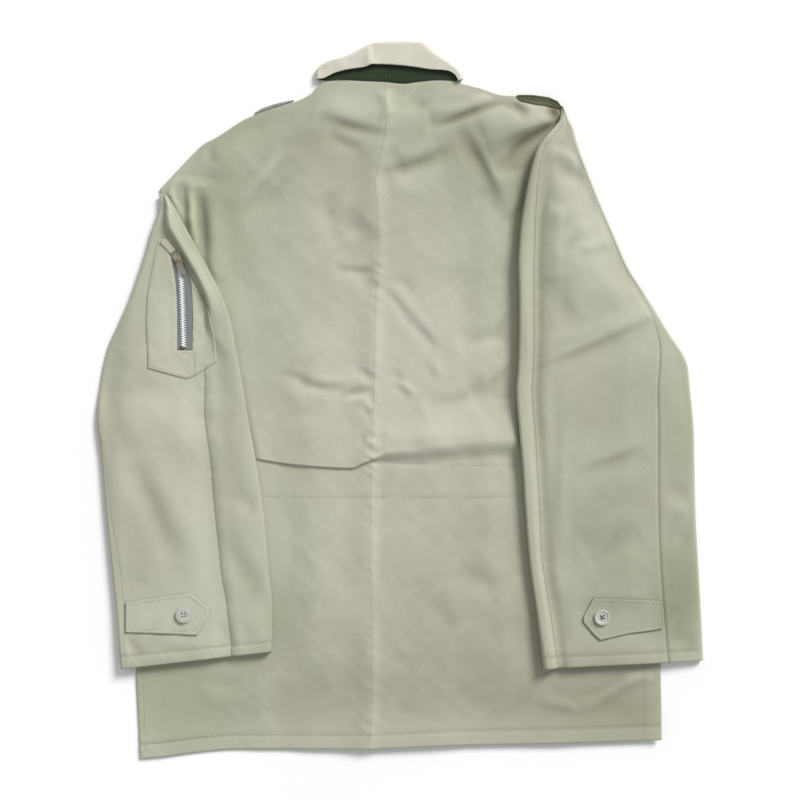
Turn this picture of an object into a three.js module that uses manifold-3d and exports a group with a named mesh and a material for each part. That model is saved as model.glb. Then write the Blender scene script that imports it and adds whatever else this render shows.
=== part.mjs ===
// An army parka of cotton twill, laid face down on a table with both sleeves swung in over its back.
// Millimetres. +X is the wearer's right, +Y runs up to the collar and +Z is up from the table.
// Every cloth piece is a thin closed wall over a grid of points, worked out from the tables below.
import * as THREE from "three";
import { mergeVertices } from "three/addons/utils/BufferGeometryUtils.js";
import Module from "manifold-3d";

const wasm = await Module();
wasm.setup();

// ---------------------------------------------------------------------------
// Driving sizes
// ---------------------------------------------------------------------------

const CLOTH = 1.2; // wall of the twill
const GAP = 0.3; // between pieces that touch or are sewn together
const SEAM = GAP / 2; // each side of a seam gives half of the gap
const HALF = CLOTH / 2;
const LAYER = CLOTH + GAP; // one cloth lying on another

const FRONT_MIDDLE = HALF; // height of the fronts' middle surface
const BACK_MIDDLE = FRONT_MIDDLE + LAYER;
const BODY_TOP = BACK_MIDDLE + HALF; // where the body lies flat under a sleeve
const SLEEVE_MIDDLE = BODY_TOP + GAP + HALF;

const CENTRE_FRONT = -28;
const LAP = 30; // each front passes the centre by this much
const LAP_RAMP = { from: 10, to: 38 }; // the right front climbs on the left one, past its edge
const NECK_GAP = { back: 0.7, front: 1.6 }; // between the collar and the curved neck edges

const CROWN = { height: 2, full: 68, none: 116 }; // the back lifts over the lapped fronts
const CROWN_FADE = { from: 8, to: 45 }; // and comes down again towards the neck seam
const LOFT = 1.5; // the open back stands this much off the fronts
const SHADE = { from: 17, to: 46 }; // but lies flat beside a sleeve's inner edge
const EDGE_FADE = { from: 20, to: 40 }; // and along its own upper edge

const SLEEVE_LIFT = 1.5; // half the distance between a sleeve's two layers
const SLEEVE_TOP = SLEEVE_MIDDLE + 2 * SLEEVE_LIFT + HALF;
const ROLL_WIDTH = 26; // breadth of the soft roll along a sleeve's inner edge
const DROOP = { from: 12, to: 40 }; // past the body's side the sleeve sinks to the table

const UNDER_BEND = 1.35; // radius of the under collar's middle surface at the roll line
const COLLAR_BEND = UNDER_BEND + LAYER;

const STRAP = 1.6;
const TAB = 2;
const PATCH = 1;
const TEETH = { thick: 1.6, half: 3 };
const STOP = 2;
const BUTTON = { radius: 9, thick: 3, dish: 5.6, hole: 1.1, spread: 2.1 };
const SLIDER = {
  x: -253.6,
  y: 160,
  turn: 0.4, // from straight down the sleeve towards the wearer's right
  long: 11,
  wide: 9.4,
  plate: 1.2,
  skirt: 0.6, // its sides reach down over the tapes
  opening: 1.7, // under the bridge that holds the pull tab
  bridge: { long: 4.6, wide: 2, thick: 1 },
};
const PULL = { long: 19, wide: 5.5, thick: 1.1, eye: 3, bar: 1 };

// Rows and columns of the grids
const LIMIT = 500; // nothing lies further from the middle
const BACK_LEVELS = [
  -360, -315, -270, -225, -185, -150, -122, -100, -86, -78, -72, -66,
  -60, -52, -38, -18, 4, 26, 48, 70, 94, 120, 148,
];
const SHOULDER_ROWS = 9;
const BACK_COLUMNS = 16;
const FRONT_LEVELS = [-340, -270, -200, -130, -60, 10, 60, 110, 160, 200];
const FRONT_SHORT = 2; // the fronts' hem lies this much inside the back's
const FRONT_COLUMNS = 14;
const LAP_COLUMNS = [0, 0.06, 0.12, 0.18, 0.24, 0.3, 0.36, 0.42, 0.48, 0.56, 0.65, 0.76, 0.88, 1];
const ZIP_LEVELS = [75, 94, 112, 130, 140, 150, 156, 160, 165];
const POCKET_COLUMNS = [0, 0.2, 0.4, 0.57, 0.684, 0.85, 1];

const FINISHES = {
  twill: { color: 0xb4b59f, roughness: 0.9, metalness: 0 },
  collar: { color: 0xcfccbd, roughness: 0.9, metalness: 0 },
  dark: { color: 0x34412c, roughness: 0.95, metalness: 0 },
  strap: { color: 0x6b6a58, roughness: 0.9, metalness: 0 },
  tape: { color: 0x7d8180, roughness: 0.85, metalness: 0 },
  teeth: { color: 0xd8d8d4, roughness: 0.35, metalness: 1 },
  metal: { color: 0xb9b4aa, roughness: 0.4, metalness: 1 },
  copper: { color: 0x8a5a4a, roughness: 0.45, metalness: 1 },
  button: { color: 0xb9b8a8, roughness: 0.35, metalness: 0 },
};

// ---------------------------------------------------------------------------
// Tables
// ---------------------------------------------------------------------------

// The body's two sides and the centre-back seam, from the hem to the shoulders
const BODY = [
  { y: -412, left: -298, centre: -36, right: 300 },
  { y: -353, left: -301, centre: -33, right: 300 },
  { y: -288, left: -304, centre: -32, right: 299 },
  { y: -184, left: -305, centre: -34, right: 298 },
  { y: -75, left: -304, centre: -33, right: 297 },
  { y: 15, left: -301, centre: -30, right: 293 },
  { y: 61, left: -297, centre: -29, right: 285 },
  { y: 110, left: -290, centre: -28, right: 270 },
  { y: 164, left: -278, centre: -25, right: 246 },
  { y: 214, left: -268, centre: -26, right: 224 },
  { y: 246, left: -276, centre: -28, right: 210 },
  { y: 302, left: -276, centre: -18, right: 194 },
  { y: 328, left: -276, centre: -16, right: 187 },
  { y: 368, left: -276, centre: -18, right: 186 },
];

// The lower edge of the back
const HEM = [
  { x: -298, y: -412 },
  { x: -267, y: -409.2 },
  { x: -235, y: -405 },
  { x: -190, y: -401 },
  { x: -36, y: -400 },
  { x: 64, y: -396 },
  { x: 175, y: -394 },
  { x: 300, y: -390 },
];

// The upper edge of the back and of the fronts: shoulders, and the neck between x -95 and 72
const TOP = [
  { x: -276, back: 242, front: 242 },
  { x: -260, back: 259, front: 258 },
  { x: -244, back: 276, front: 275 },
  { x: -225, back: 294, front: 293 },
  { x: -210, back: 302, front: 301 },
  { x: -177, back: 323, front: 321 },
  { x: -159, back: 330, front: 328 },
  { x: -145, back: 335, front: 333 },
  { x: -125, back: 341, front: 339 },
  { x: -103, back: 351, front: 349 },
  { x: -94, back: 361, front: 354 },
  { x: -85, back: 366, front: 344 },
  { x: -64, back: 367, front: 330 },
  { x: -40, back: 366, front: 320 },
  { x: -18, back: 365, front: 315 },
  { x: 5, back: 363, front: 314 },
  { x: 20, back: 365, front: 317 },
  { x: 46, back: 367, front: 330 },
  { x: 60, back: 366, front: 342 },
  { x: 72, back: 363, front: 356 },
  { x: 92, back: 358, front: 356 },
  { x: 118, back: 350, front: 348 },
  { x: 154, back: 348, front: 346 },
  { x: 171, back: 345, front: 343 },
  { x: 181, back: 340, front: 338 },
  { x: 186, back: 332, front: 331 },
];

// The sleeves, from head to cuff. Outer and inner edges in x, the two lengthwise seams by their distance
// from those edges, the radius of the roll along the inner edge, and how much lower the outer edge stands.
const SLEEVE_LEFT = [
  { y: 236, outer: -276, inner: -268, outerSeam: 2.7, innerSeam: 4, roll: 1.5, tilt: 0 },
  { y: 221, outer: -275, inner: -258, outerSeam: 3, innerSeam: 11, roll: 1.9, tilt: 0 },
  { y: 208, outer: -279, inner: -251, outerSeam: 3, innerSeam: 18, roll: 2.3, tilt: 0 },
  { y: 195, outer: -284, inner: -244, outerSeam: 3, innerSeam: 22, roll: 2.5, tilt: 0 },
  { y: 170, outer: -291, inner: -230, outerSeam: 3, innerSeam: 21, roll: 2.6, tilt: 0 },
  { y: 140, outer: -301, inner: -214, outerSeam: 3, innerSeam: 20, roll: 2.6, tilt: 0 },
  { y: 113, outer: -311, inner: -201, outerSeam: 3, innerSeam: 22, roll: 2.6, tilt: 0 },
  { y: 87, outer: -323, inner: -193, outerSeam: 3, innerSeam: 29, roll: 2.6, tilt: 0 },
  { y: 60, outer: -335, inner: -188, outerSeam: 3, innerSeam: 38, roll: 2.4, tilt: 0 },
  { y: 23, outer: -343, inner: -181, outerSeam: 3, innerSeam: 43, roll: 2.2, tilt: 0 },
  { y: -21, outer: -348, inner: -174, outerSeam: 3, innerSeam: 50, roll: 2, tilt: 0 },
  { y: -64, outer: -343, inner: -166, outerSeam: 4, innerSeam: 52, roll: 2, tilt: 0 },
  { y: -131, outer: -337, inner: -156, outerSeam: 6, innerSeam: 56, roll: 2, tilt: 0 },
  { y: -197, outer: -330, inner: -150, outerSeam: 10, innerSeam: 55, roll: 2, tilt: 0 },
  { y: -241, outer: -325, inner: -146, outerSeam: 9, innerSeam: 52, roll: 2, tilt: 8 },
  { y: -278, outer: -322, inner: -146, outerSeam: 7, innerSeam: 48, roll: 2, tilt: 16 },
  { y: -298, outer: -320, inner: -147, outerSeam: 7, innerSeam: 46, roll: 2, tilt: 20 },
];
const SLEEVE_RIGHT = [
  { y: 322, outer: 193, inner: 184, outerSeam: 2.7, innerSeam: 4, roll: 1.5, tilt: 0 },
  { y: 312, outer: 198, inner: 176, outerSeam: 3, innerSeam: 8, roll: 1.9, tilt: 0 },
  { y: 301, outer: 201, inner: 166, outerSeam: 3, innerSeam: 8, roll: 2.3, tilt: 0 },
  { y: 288, outer: 205, inner: 157, outerSeam: 3, innerSeam: 8, roll: 2.5, tilt: 0 },
  { y: 262, outer: 215, inner: 149, outerSeam: 3, innerSeam: 10, roll: 2.6, tilt: 0 },
  { y: 227, outer: 229, inner: 142, outerSeam: 3, innerSeam: 14, roll: 2.6, tilt: 0 },
  { y: 190, outer: 245, inner: 137, outerSeam: 3, innerSeam: 19, roll: 2.6, tilt: 0 },
  { y: 153, outer: 261, inner: 135, outerSeam: 3, innerSeam: 21, roll: 2.6, tilt: 0 },
  { y: 121, outer: 281, inner: 136, outerSeam: 3, innerSeam: 20, roll: 2.4, tilt: 0 },
  { y: 80, outer: 306, inner: 136, outerSeam: 12, innerSeam: 20, roll: 2.4, tilt: 0 },
  { y: 39, outer: 330, inner: 135, outerSeam: 33, innerSeam: 20, roll: 2.4, tilt: 0 },
  { y: 10, outer: 333, inner: 133, outerSeam: 38, innerSeam: 21, roll: 2.4, tilt: 0 },
  { y: -34, outer: 337, inner: 136, outerSeam: 41, innerSeam: 20, roll: 2.2, tilt: 0 },
  { y: -76, outer: 338, inner: 140, outerSeam: 42, innerSeam: 17, roll: 2.2, tilt: 0 },
  { y: -123, outer: 339, inner: 143, outerSeam: 43, innerSeam: 17, roll: 2, tilt: 0 },
  { y: -184, outer: 342, inner: 148, outerSeam: 44, innerSeam: 15, roll: 2, tilt: 0 },
  { y: -240, outer: 345, inner: 156, outerSeam: 43, innerSeam: 16, roll: 2, tilt: -4 },
  { y: -303, outer: 348, inner: 164, outerSeam: 41, innerSeam: 18, roll: 2, tilt: -9 },
];

// The waist tuck: where it runs, how far the cloth above stands over the cloth below, and how soft it is
const WAIST = [
  { x: -170, y: -68, step: 2.6, soft: 5 },
  { x: -118, y: -75, step: 3.4, soft: 4 },
  { x: -56, y: -78, step: 3.6, soft: 4 },
  { x: -33, y: -74, step: 3, soft: 6 },
  { x: 0, y: -72, step: 2.4, soft: 12 },
  { x: 47, y: -61, step: 2.4, soft: 12 },
  { x: 134, y: -54, step: 2, soft: 14 },
];
const WAIST_LEVEL = -68;
const WAIST_REACH = 70; // the tuck's lift dies out over this much cloth above it

// The largest creases of the back: from one place to another, how wide, and how far up or down
const CREASES = [
  { place: "right shoulder", x: 47, y: 320, toX: 114, toY: 342, width: 9, rise: -1.4 },
  { place: "below the neck, left", x: -90, y: 322, toX: -22, toY: 308, width: 10, rise: -1.4 },
  { place: "right shoulder blade", x: 66, y: 308, toX: 104, toY: 246, width: 11, rise: -1.2 },
  { place: "beside the left armhole", x: -222, y: 286, toX: -226, toY: 190, width: 10, rise: 2.6 },
  { place: "left shoulder blade", x: -136, y: 283, toX: -190, toY: 218, width: 13, rise: 1.6 },
  { place: "left of centre", x: -82, y: 226, toX: -46, toY: 192, width: 17, rise: -1.6 },
  { place: "pull across the centre", x: -16, y: 126, toX: 40, toY: 46, width: 9, rise: 1.8 },
  { place: "left small of the back", x: -127, y: 26, toX: -66, toY: 14, width: 10, rise: -1.2 },
  { place: "right ribs", x: 64, y: 62, toX: 124, toY: 80, width: 11, rise: -1.4 },
  { place: "right small of the back", x: 46, y: -4, toX: 124, toY: 26, width: 11, rise: -1.6 },
];

// The collar, from its left end to its right end: the roll line, the fall's free edge, the neck seam that
// the under collar is sewn to, and the fronts' neckline that the inside is sewn to. Lift is a crease across
// the fall.
const COLLAR = [
  { rollX: -97, rollY: 367, edgeX: -87, edgeY: 369, seamX: -84, frontX: -88, lift: 0 },
  { rollX: -97, rollY: 376, edgeX: -75, edgeY: 375, seamX: -74, frontX: -80, lift: 0 },
  { rollX: -83, rollY: 389, edgeX: -60, edgeY: 379, seamX: -62, frontX: -66, lift: 0.3 },
  { rollX: -62, rollY: 395, edgeX: -40, edgeY: 382, seamX: -43, frontX: -46, lift: 0 },
  { rollX: -36, rollY: 408, edgeX: -30, edgeY: 385, seamX: -30, frontX: -27, lift: 1.2 },
  { rollX: -26, rollY: 411, edgeX: -22, edgeY: 385, seamX: -20, frontX: -19, lift: 0 },
  { rollX: -3, rollY: 412, edgeX: -4, edgeY: 384, seamX: -6, frontX: -5, lift: 0.4 },
  { rollX: 24, rollY: 411, edgeX: 15, edgeY: 382, seamX: 15, frontX: 14, lift: 0.4 },
  { rollX: 43, rollY: 397, edgeX: 36, edgeY: 379, seamX: 34, frontX: 33, lift: 0 },
  { rollX: 59, rollY: 386, edgeX: 53, edgeY: 378, seamX: 48, frontX: 48, lift: 0.2 },
  { rollX: 70, rollY: 376, edgeX: 63, edgeY: 373, seamX: 58, frontX: 59, lift: 0 },
  { rollX: 73, rollY: 368, edgeX: 67, edgeY: 366, seamX: 63, frontX: 66, lift: 0 },
];
const UNDER_INSET = 1.5; // the under collar stops this far short of the fall's edge

// Shoulder straps: their visible edges, wearer's left and right
const STRAP_LEFT = [
  { x: -167, lower: 328.6, upper: 330.2 },
  { x: -159, lower: 331.6, upper: 335 },
  { x: -145, lower: 336.4, upper: 340 },
  { x: -132, lower: 340.6, upper: 343 },
  { x: -122, lower: 343.8, upper: 345 },
];
const STRAP_RIGHT = [
  { x: 134, lower: 348, upper: 350 },
  { x: 139, lower: 343, upper: 350.4 },
  { x: 154, lower: 339, upper: 350 },
  { x: 171, lower: 336.5, upper: 347.5 },
  { x: 181, lower: 334.5, upper: 343 },
  { x: 186, lower: 333, upper: 336 },
];

// Cuff tabs, from the seam that holds them to the point
const TAB_LEFT = [
  { x: -314, lower: -266, upper: -231 },
  { x: -284, lower: -267, upper: -226 },
  { x: -258, lower: -268, upper: -222 },
  { x: -239, lower: -269, upper: -220 },
  { x: -232, lower: -269, upper: -226 },
  { x: -217, lower: -242, upper: -239 },
];
const TAB_RIGHT = [
  { x: 209, lower: -253, upper: -249 },
  { x: 221, lower: -268, upper: -225.5 },
  { x: 229, lower: -275, upper: -226 },
  { x: 263, lower: -267, upper: -227 },
  { x: 284, lower: -264.5, upper: -228 },
  { x: 300, lower: -262, upper: -229 },
];
const BUTTON_LEFT = { x: -247, y: -245 };
const BUTTON_RIGHT = { x: 231, y: -248 };

// The patch pocket on the left sleeve: its sides, and its pointed lower edge
const POCKET = [
  { y: 24, left: -289, right: -210 },
  { y: 44, left: -289, right: -210 },
  { y: 92, left: -291, right: -216 },
  { y: 122, left: -289, right: -229 },
  { y: 150, left: -284, right: -246 },
  { y: 184, left: -277, right: -264 },
];
const POCKET_FOOT = [
  { x: -291, y: 37 },
  { x: -244, y: 24 },
  { x: -235, y: 27.5 },
  { x: -210, y: 44 },
];
const POCKET_TOP = 184;

// The pocket's zip, from bottom to top: the outer edges of its tapes and the middle of its teeth
const ZIP = [
  { y: 57, left: -256, teeth: -249.2, right: -238.5 },
  { y: 94, left: -256, teeth: -250.4, right: -238 },
  { y: 130, left: -257.5, teeth: -251.6, right: -239.5 },
  { y: 150, left: -260, teeth: -253, right: -244.5 },
  { y: 169, left: -264, teeth: -258, right: -254.5 },
];
const ZIP_FOOT = 57;
const ZIP_HEAD = 169;
const RIGHT_TAPE_HEAD = 160;
const TEETH_FOOT = 61.5;
const TEETH_TOP = 153;
const TOP_TAB = { x: -272, y: 183, toX: -259.5, toY: 169.5, wide: 8, thick: 1 };

// ---------------------------------------------------------------------------
// Reading the tables
// ---------------------------------------------------------------------------

const clamp = THREE.MathUtils.clamp;
const lerp = THREE.MathUtils.lerp;
const smoothstep = (low, high, value) => THREE.MathUtils.smoothstep(value, low, high);

// A reader of one column of a table, along its key column. Smooth readers follow a curve that never
// overshoots the rows, and straight ones join the rows with lines.
function column(rows, key, name, smooth = true) {
  const sorted = [...rows].sort((a, b) => a[key] - b[key]);
  const last = sorted.length - 1;
  const secant = (i) => (sorted[i + 1][name] - sorted[i][name]) / (sorted[i + 1][key] - sorted[i][key]);
  const slope = (i) => {
    if (i === 0 || i === last) return secant(Math.min(i, last - 1));
    const before = secant(i - 1);
    const after = secant(i);
    return before * after <= 0 ? 0 : (2 * before * after) / (before + after);
  };
  return (at) => {
    let i = 0;
    while (i < last - 1 && at > sorted[i + 1][key]) i += 1;
    const span = sorted[i + 1][key] - sorted[i][key];
    const t = clamp((at - sorted[i][key]) / span, 0, 1);
    if (!smooth) return lerp(sorted[i][name], sorted[i + 1][name], t);
    const start = sorted[i][name];
    const end = sorted[i + 1][name];
    const bend = t * (1 - t) * span * (slope(i) * (1 - t) - slope(i + 1) * t);
    return lerp(start, end, t * t * (3 - 2 * t)) + bend;
  };
}

// Evenly spaced shares from 0 to 1
const shares = (steps) => Array.from({ length: steps + 1 }, (_, i) => i / steps);

const bodyLeft = column(BODY, "y", "left");
const bodyRight = column(BODY, "y", "right");
const centreBack = column(BODY, "y", "centre");
const hemLine = column(HEM, "x", "y");
const backTop = column(TOP, "x", "back");
const frontTop = column(TOP, "x", "front");
const leftSleeveEdge = column(SLEEVE_LEFT, "y", "inner");
const rightSleeveEdge = column(SLEEVE_RIGHT, "y", "inner");
const waistLine = column(WAIST, "x", "y");
const waistStep = column(WAIST, "x", "step");
const waistSoft = column(WAIST, "x", "soft");

// ---------------------------------------------------------------------------
// Closed walls
// ---------------------------------------------------------------------------

// A closed body between two grids of points that match row by row
function wallBetween(upper, lower) {
  const rows = upper.length;
  const columns = upper[0].length;
  const points = [...upper.flat(), ...lower.flat()];
  const below = rows * columns;
  const index = [];
  const quad = (a, b, c, d) => index.push(a, b, c, a, c, d);
  for (let i = 0; i < rows - 1; i += 1) {
    for (let j = 0; j < columns - 1; j += 1) {
      const a = i * columns + j;
      quad(a, a + 1, a + columns + 1, a + columns);
      quad(below + a, below + a + columns, below + a + columns + 1, below + a + 1);
    }
  }
  const rim = [];
  for (let j = 0; j < columns - 1; j += 1) rim.push(j);
  for (let i = 0; i < rows - 1; i += 1) rim.push(i * columns + columns - 1);
  for (let j = columns - 1; j > 0; j -= 1) rim.push((rows - 1) * columns + j);
  for (let i = rows - 1; i > 0; i -= 1) rim.push(i * columns);
  rim.forEach((a, k) => {
    const b = rim[(k + 1) % rim.length];
    quad(b, a, below + a, below + b);
  });
  const geometry = new THREE.BufferGeometry().setFromPoints(points);
  geometry.setIndex(index);
  return facingOut(geometry);
}

// Turns the faces round where they point inwards
function facingOut(geometry) {
  const place = geometry.getAttribute("position");
  const index = geometry.getIndex().array;
  const [a, b, c] = [new THREE.Vector3(), new THREE.Vector3(), new THREE.Vector3()];
  let volume = 0;
  for (let i = 0; i < index.length; i += 3) {
    a.fromBufferAttribute(place, index[i]);
    b.fromBufferAttribute(place, index[i + 1]);
    c.fromBufferAttribute(place, index[i + 2]);
    volume += a.dot(b.cross(c));
  }
  if (volume < 0) geometry.setIndex([...index].reverse());
  geometry.computeVertexNormals();
  return geometry;
}

// Where the line x = across(y) meets the edge y = edge(x)
function meet(across, edge) {
  let low = -LIMIT;
  let high = LIMIT;
  while (high - low > 1e-4) {
    const y = (low + high) / 2;
    if (edge(across(y)) > y) low = y;
    else high = y;
  }
  return low;
}

// A sheet that lies flat. Each column runs up its outline's own lean, from the bottom to the top edge,
// rows gives the levels on one column, and middle gives the height of the middle surface at a place.
function flatSheet({ left, right, bottom, top, columns, rows, middle, thick = CLOTH }) {
  const lines = columns.map((share) => {
    const across = (y) => lerp(left(y), right(y), share);
    const levels = rows(meet(across, bottom), meet(across, top), across);
    return levels.map((y) => new THREE.Vector3(across(y), y, middle(across(y), y)));
  });
  const level = (i, offset) => lines.map((line) => line[i].clone().setZ(line[i].z + offset));
  const grid = (offset) => lines[0].map((_, i) => level(i, offset));
  return wallBetween(grid(thick / 2), grid(-thick / 2));
}

const evenRows = (steps) => (foot, head) => shares(steps).map((share) => lerp(foot, head, share));

// A mesh from a geometry, with the finish of its material
function piece(name, geometry, finish) {
  const mesh = new THREE.Mesh(geometry, new THREE.MeshStandardMaterial(FINISHES[finish]));
  mesh.name = name;
  return mesh;
}

// ---------------------------------------------------------------------------
// The body
// ---------------------------------------------------------------------------

// Distance from a place to a crease's line
function creaseDistance(crease, x, y) {
  const run = new THREE.Vector2(crease.toX - crease.x, crease.toY - crease.y);
  const from = new THREE.Vector2(x - crease.x, y - crease.y);
  const share = clamp(from.dot(run) / run.lengthSq(), 0, 1);
  return from.distanceTo(run.multiplyScalar(share));
}

const creased = (x, y) =>
  CREASES.reduce((sum, crease) => {
    return sum + crease.rise * Math.exp(-((creaseDistance(crease, x, y) / crease.width) ** 2));
  }, 0);

// How far the tucked waist lifts the cloth above it
function waistLift(x, y) {
  const above = y - waistLine(x);
  const soft = waistSoft(x) / 2;
  return waistStep(x) * smoothstep(-soft, soft, above) * Math.exp(-Math.max(above, 0) / WAIST_REACH);
}

function backMiddle(x, y) {
  const below = backTop(x) - y;
  const beside =
    smoothstep(SHADE.from, SHADE.to, x - leftSleeveEdge(y)) *
    smoothstep(SHADE.from, SHADE.to, rightSleeveEdge(y) - x);
  const loft = beside * smoothstep(EDGE_FADE.from, EDGE_FADE.to, below);
  const crown =
    CROWN.height *
    (1 - smoothstep(CROWN.full, CROWN.none, Math.abs(x - CENTRE_FRONT))) *
    smoothstep(CROWN_FADE.from, CROWN_FADE.to, below);
  return BACK_MIDDLE + crown + Math.max(0, loft * (LOFT + waistLift(x, y) + creased(x, y)));
}

// Rows of the back: level ones that bend with the waist tuck, then more that spread up to the shoulders
function backRows(foot, head, across) {
  const tucked = (level) => {
    const near = Math.exp(-(((level - WAIST_LEVEL) / WAIST_REACH) ** 2));
    return level + near * (waistLine(across(level)) - WAIST_LEVEL);
  };
  const highest = tucked(BACK_LEVELS.at(-1));
  const upper = shares(SHOULDER_ROWS).slice(1);
  return [foot, ...BACK_LEVELS.map(tucked), ...upper.map((share) => lerp(highest, head, share))];
}

function frontRows(foot, head) {
  const upper = shares(3).slice(1);
  return [foot, ...FRONT_LEVELS, ...upper.map((share) => lerp(FRONT_LEVELS.at(-1), head, share))];
}

function back(name, left, right) {
  const columns = shares(BACK_COLUMNS);
  const sheet = { left, right, bottom: hemLine, top: backTop, columns, rows: backRows, middle: backMiddle };
  return piece(name, flatSheet(sheet), "twill");
}

function front(name, left, right, columns, middle) {
  const bottom = (x) => hemLine(x) + FRONT_SHORT;
  const sheet = { left, right, bottom, top: frontTop, columns, rows: frontRows, middle };
  return piece(name, flatSheet(sheet), "twill");
}

function body() {
  const lapped = (x) => FRONT_MIDDLE + LAYER * (1 - smoothstep(LAP_RAMP.from, LAP_RAMP.to, x));
  const lapEdge = CENTRE_FRONT + LAP;
  const underLapEdge = CENTRE_FRONT - LAP;
  const seam = (side) => (y) => centreBack(y) + side * SEAM;
  return [
    front("front_left", bodyLeft, () => lapEdge, shares(FRONT_COLUMNS), () => FRONT_MIDDLE),
    front("front_right", () => underLapEdge, bodyRight, LAP_COLUMNS, lapped),
    back("back_left", bodyLeft, seam(-1)),
    back("back_right", seam(1), bodyRight),
  ];
}

// ---------------------------------------------------------------------------
// The sleeves
// ---------------------------------------------------------------------------

// A point of a section's middle line: how far in from the outer edge, how high, and which way is out
const at = (inset, height, outInset, outHeight) => ({ inset, height, outInset, outHeight });

// The section of a sleeve at one row, split at its two seams into the outer and the inner piece's lines
function sleeveSection(row, inward) {
  const width = Math.abs(row.inner - row.outer);
  const edge = inward > 0 ? bodyLeft(row.y) : bodyRight(row.y);
  const rest = (inset) => {
    const past = (edge - row.outer) * inward - inset;
    return SLEEVE_MIDDLE - BODY_TOP * smoothstep(DROOP.from, DROOP.to, past);
  };
  const outerBend = HALF + SLEEVE_LIFT;
  const innerBend = width - HALF - row.roll;
  const rollFoot = width - Math.min(ROLL_WIDTH, 0.7 * width);
  const radius = (inset) => lerp(SLEEVE_LIFT, row.roll, smoothstep(rollFoot, innerBend, inset));
  const above = (inset) => at(inset, rest(inset) + 2 * radius(inset), 0, 1);
  const under = (inset) => at(inset, rest(inset), 0, -1);
  const bend = (centre, lift, side, angle) => {
    const [out, up] = [side * Math.cos(angle), Math.sin(angle)];
    return at(centre + lift * out, rest(centre) + lift * (1 + up), out, up);
  };
  const line = (from, to, steps, point) => shares(steps).map((share) => point(lerp(from, to, share)));
  const quarter = Math.PI / 2;
  const innerSeam = width - row.innerSeam;
  return {
    outer: line(row.outerSeam + SEAM, innerSeam - SEAM, 8, above),
    inner: [
      ...line(innerSeam + SEAM, innerBend, 4, above),
      ...line(quarter, -quarter, 6, (angle) => bend(innerBend, row.roll, 1, angle)).slice(1, -1),
      ...line(innerBend, outerBend, 9, under),
      ...line(-quarter, quarter, 4, (angle) => bend(outerBend, SLEEVE_LIFT, -1, angle)).slice(1, -1),
      ...line(outerBend, row.outerSeam - SEAM, 1, above),
    ],
  };
}

// Both pieces of a sleeve. Inward is +1 where +X leads from the outer to the inner edge, else -1.
function sleeve(name, rows, inward) {
  const sections = rows.map((row) => sleeveSection(row, inward));
  const surface = (part, offset) =>
    rows.map((row, i) => {
      const width = Math.abs(row.inner - row.outer);
      return sections[i][part].map((point) => {
        const inset = point.inset + offset * point.outInset;
        const y = row.y + row.tilt * (point.inset / width - 0.5);
        return new THREE.Vector3(row.outer + inward * inset, y, point.height + offset * point.outHeight);
      });
    });
  const wall = (part) => wallBetween(surface(part, HALF), surface(part, -HALF));
  return [piece(`${name}_outer`, wall("outer"), "twill"), piece(`${name}_inner`, wall("inner"), "twill")];
}

// ---------------------------------------------------------------------------
// The collar
// ---------------------------------------------------------------------------

// One cloth of the collar: from the free edge up to the roll line, round it, and back to its seam underneath
function collarCloth(bend, inset, seamPlace) {
  const centreHeight = HALF + COLLAR_BEND;
  const grid = (offset) =>
    COLLAR.map((row) => {
      const roll = new THREE.Vector2(row.rollX, row.rollY);
      const edge = new THREE.Vector2(row.edgeX, row.edgeY);
      const out = roll.clone().sub(edge).normalize();
      const centre = roll.clone().addScaledVector(out, -HALF - COLLAR_BEND);
      const foot = seamPlace(row);
      const start = edge.addScaledVector(out, inset);
      const upper = shares(3).map((share) => {
        const place = start.clone().lerp(centre, share);
        const height = centreHeight + bend + offset + row.lift * (1 - share);
        return new THREE.Vector3(place.x, place.y, height);
      });
      const round = shares(6)
        .slice(1, -1)
        .map((share) => {
          const angle = Math.PI * (0.5 - share);
          const place = centre.clone().addScaledVector(out, (bend + offset) * Math.cos(angle));
          return new THREE.Vector3(place.x, place.y, centreHeight + (bend + offset) * Math.sin(angle));
        });
      const lower = shares(4).map((share) => {
        const place = centre.clone().lerp(foot, share);
        return new THREE.Vector3(place.x, place.y, centreHeight - bend - offset);
      });
      return [...upper, ...round, ...lower];
    });
  return wallBetween(grid(HALF), grid(-HALF));
}

function collar() {
  const frontSeam = ({ frontX }) => new THREE.Vector2(frontX, frontTop(frontX) + NECK_GAP.front);
  const backSeam = ({ seamX }) => new THREE.Vector2(seamX, backTop(seamX) + NECK_GAP.back);
  return [
    piece("top_collar", collarCloth(COLLAR_BEND, 0, frontSeam), "collar"),
    piece("under_collar", collarCloth(UNDER_BEND, UNDER_INSET, backSeam), "dark"),
  ];
}

// ---------------------------------------------------------------------------
// What lies on the cloth: straps, cuff tabs, pocket
// ---------------------------------------------------------------------------

// A flat strip between two edges tabled along x
function strip(rows, lower, thick, middle, steps) {
  const [first, last] = [rows[0].x, rows.at(-1).x];
  return flatSheet({
    left: () => first,
    right: () => last,
    bottom: lower,
    top: column(rows, "x", "upper", false),
    columns: rows.map(({ x }) => (x - first) / (last - first)),
    rows: evenRows(steps),
    middle: () => middle,
    thick,
  });
}

function straps() {
  const besideEdge = (x) => backTop(x) + 2 * GAP;
  const onEdge = column(STRAP_RIGHT, "x", "lower", false);
  const height = BODY_TOP + GAP + STRAP / 2;
  return [
    piece("shoulder_strap_left", strip(STRAP_LEFT, besideEdge, STRAP, STRAP / 2, 1), "strap"),
    piece("shoulder_strap_right", strip(STRAP_RIGHT, onEdge, STRAP, height, 2), "strap"),
  ];
}

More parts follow.
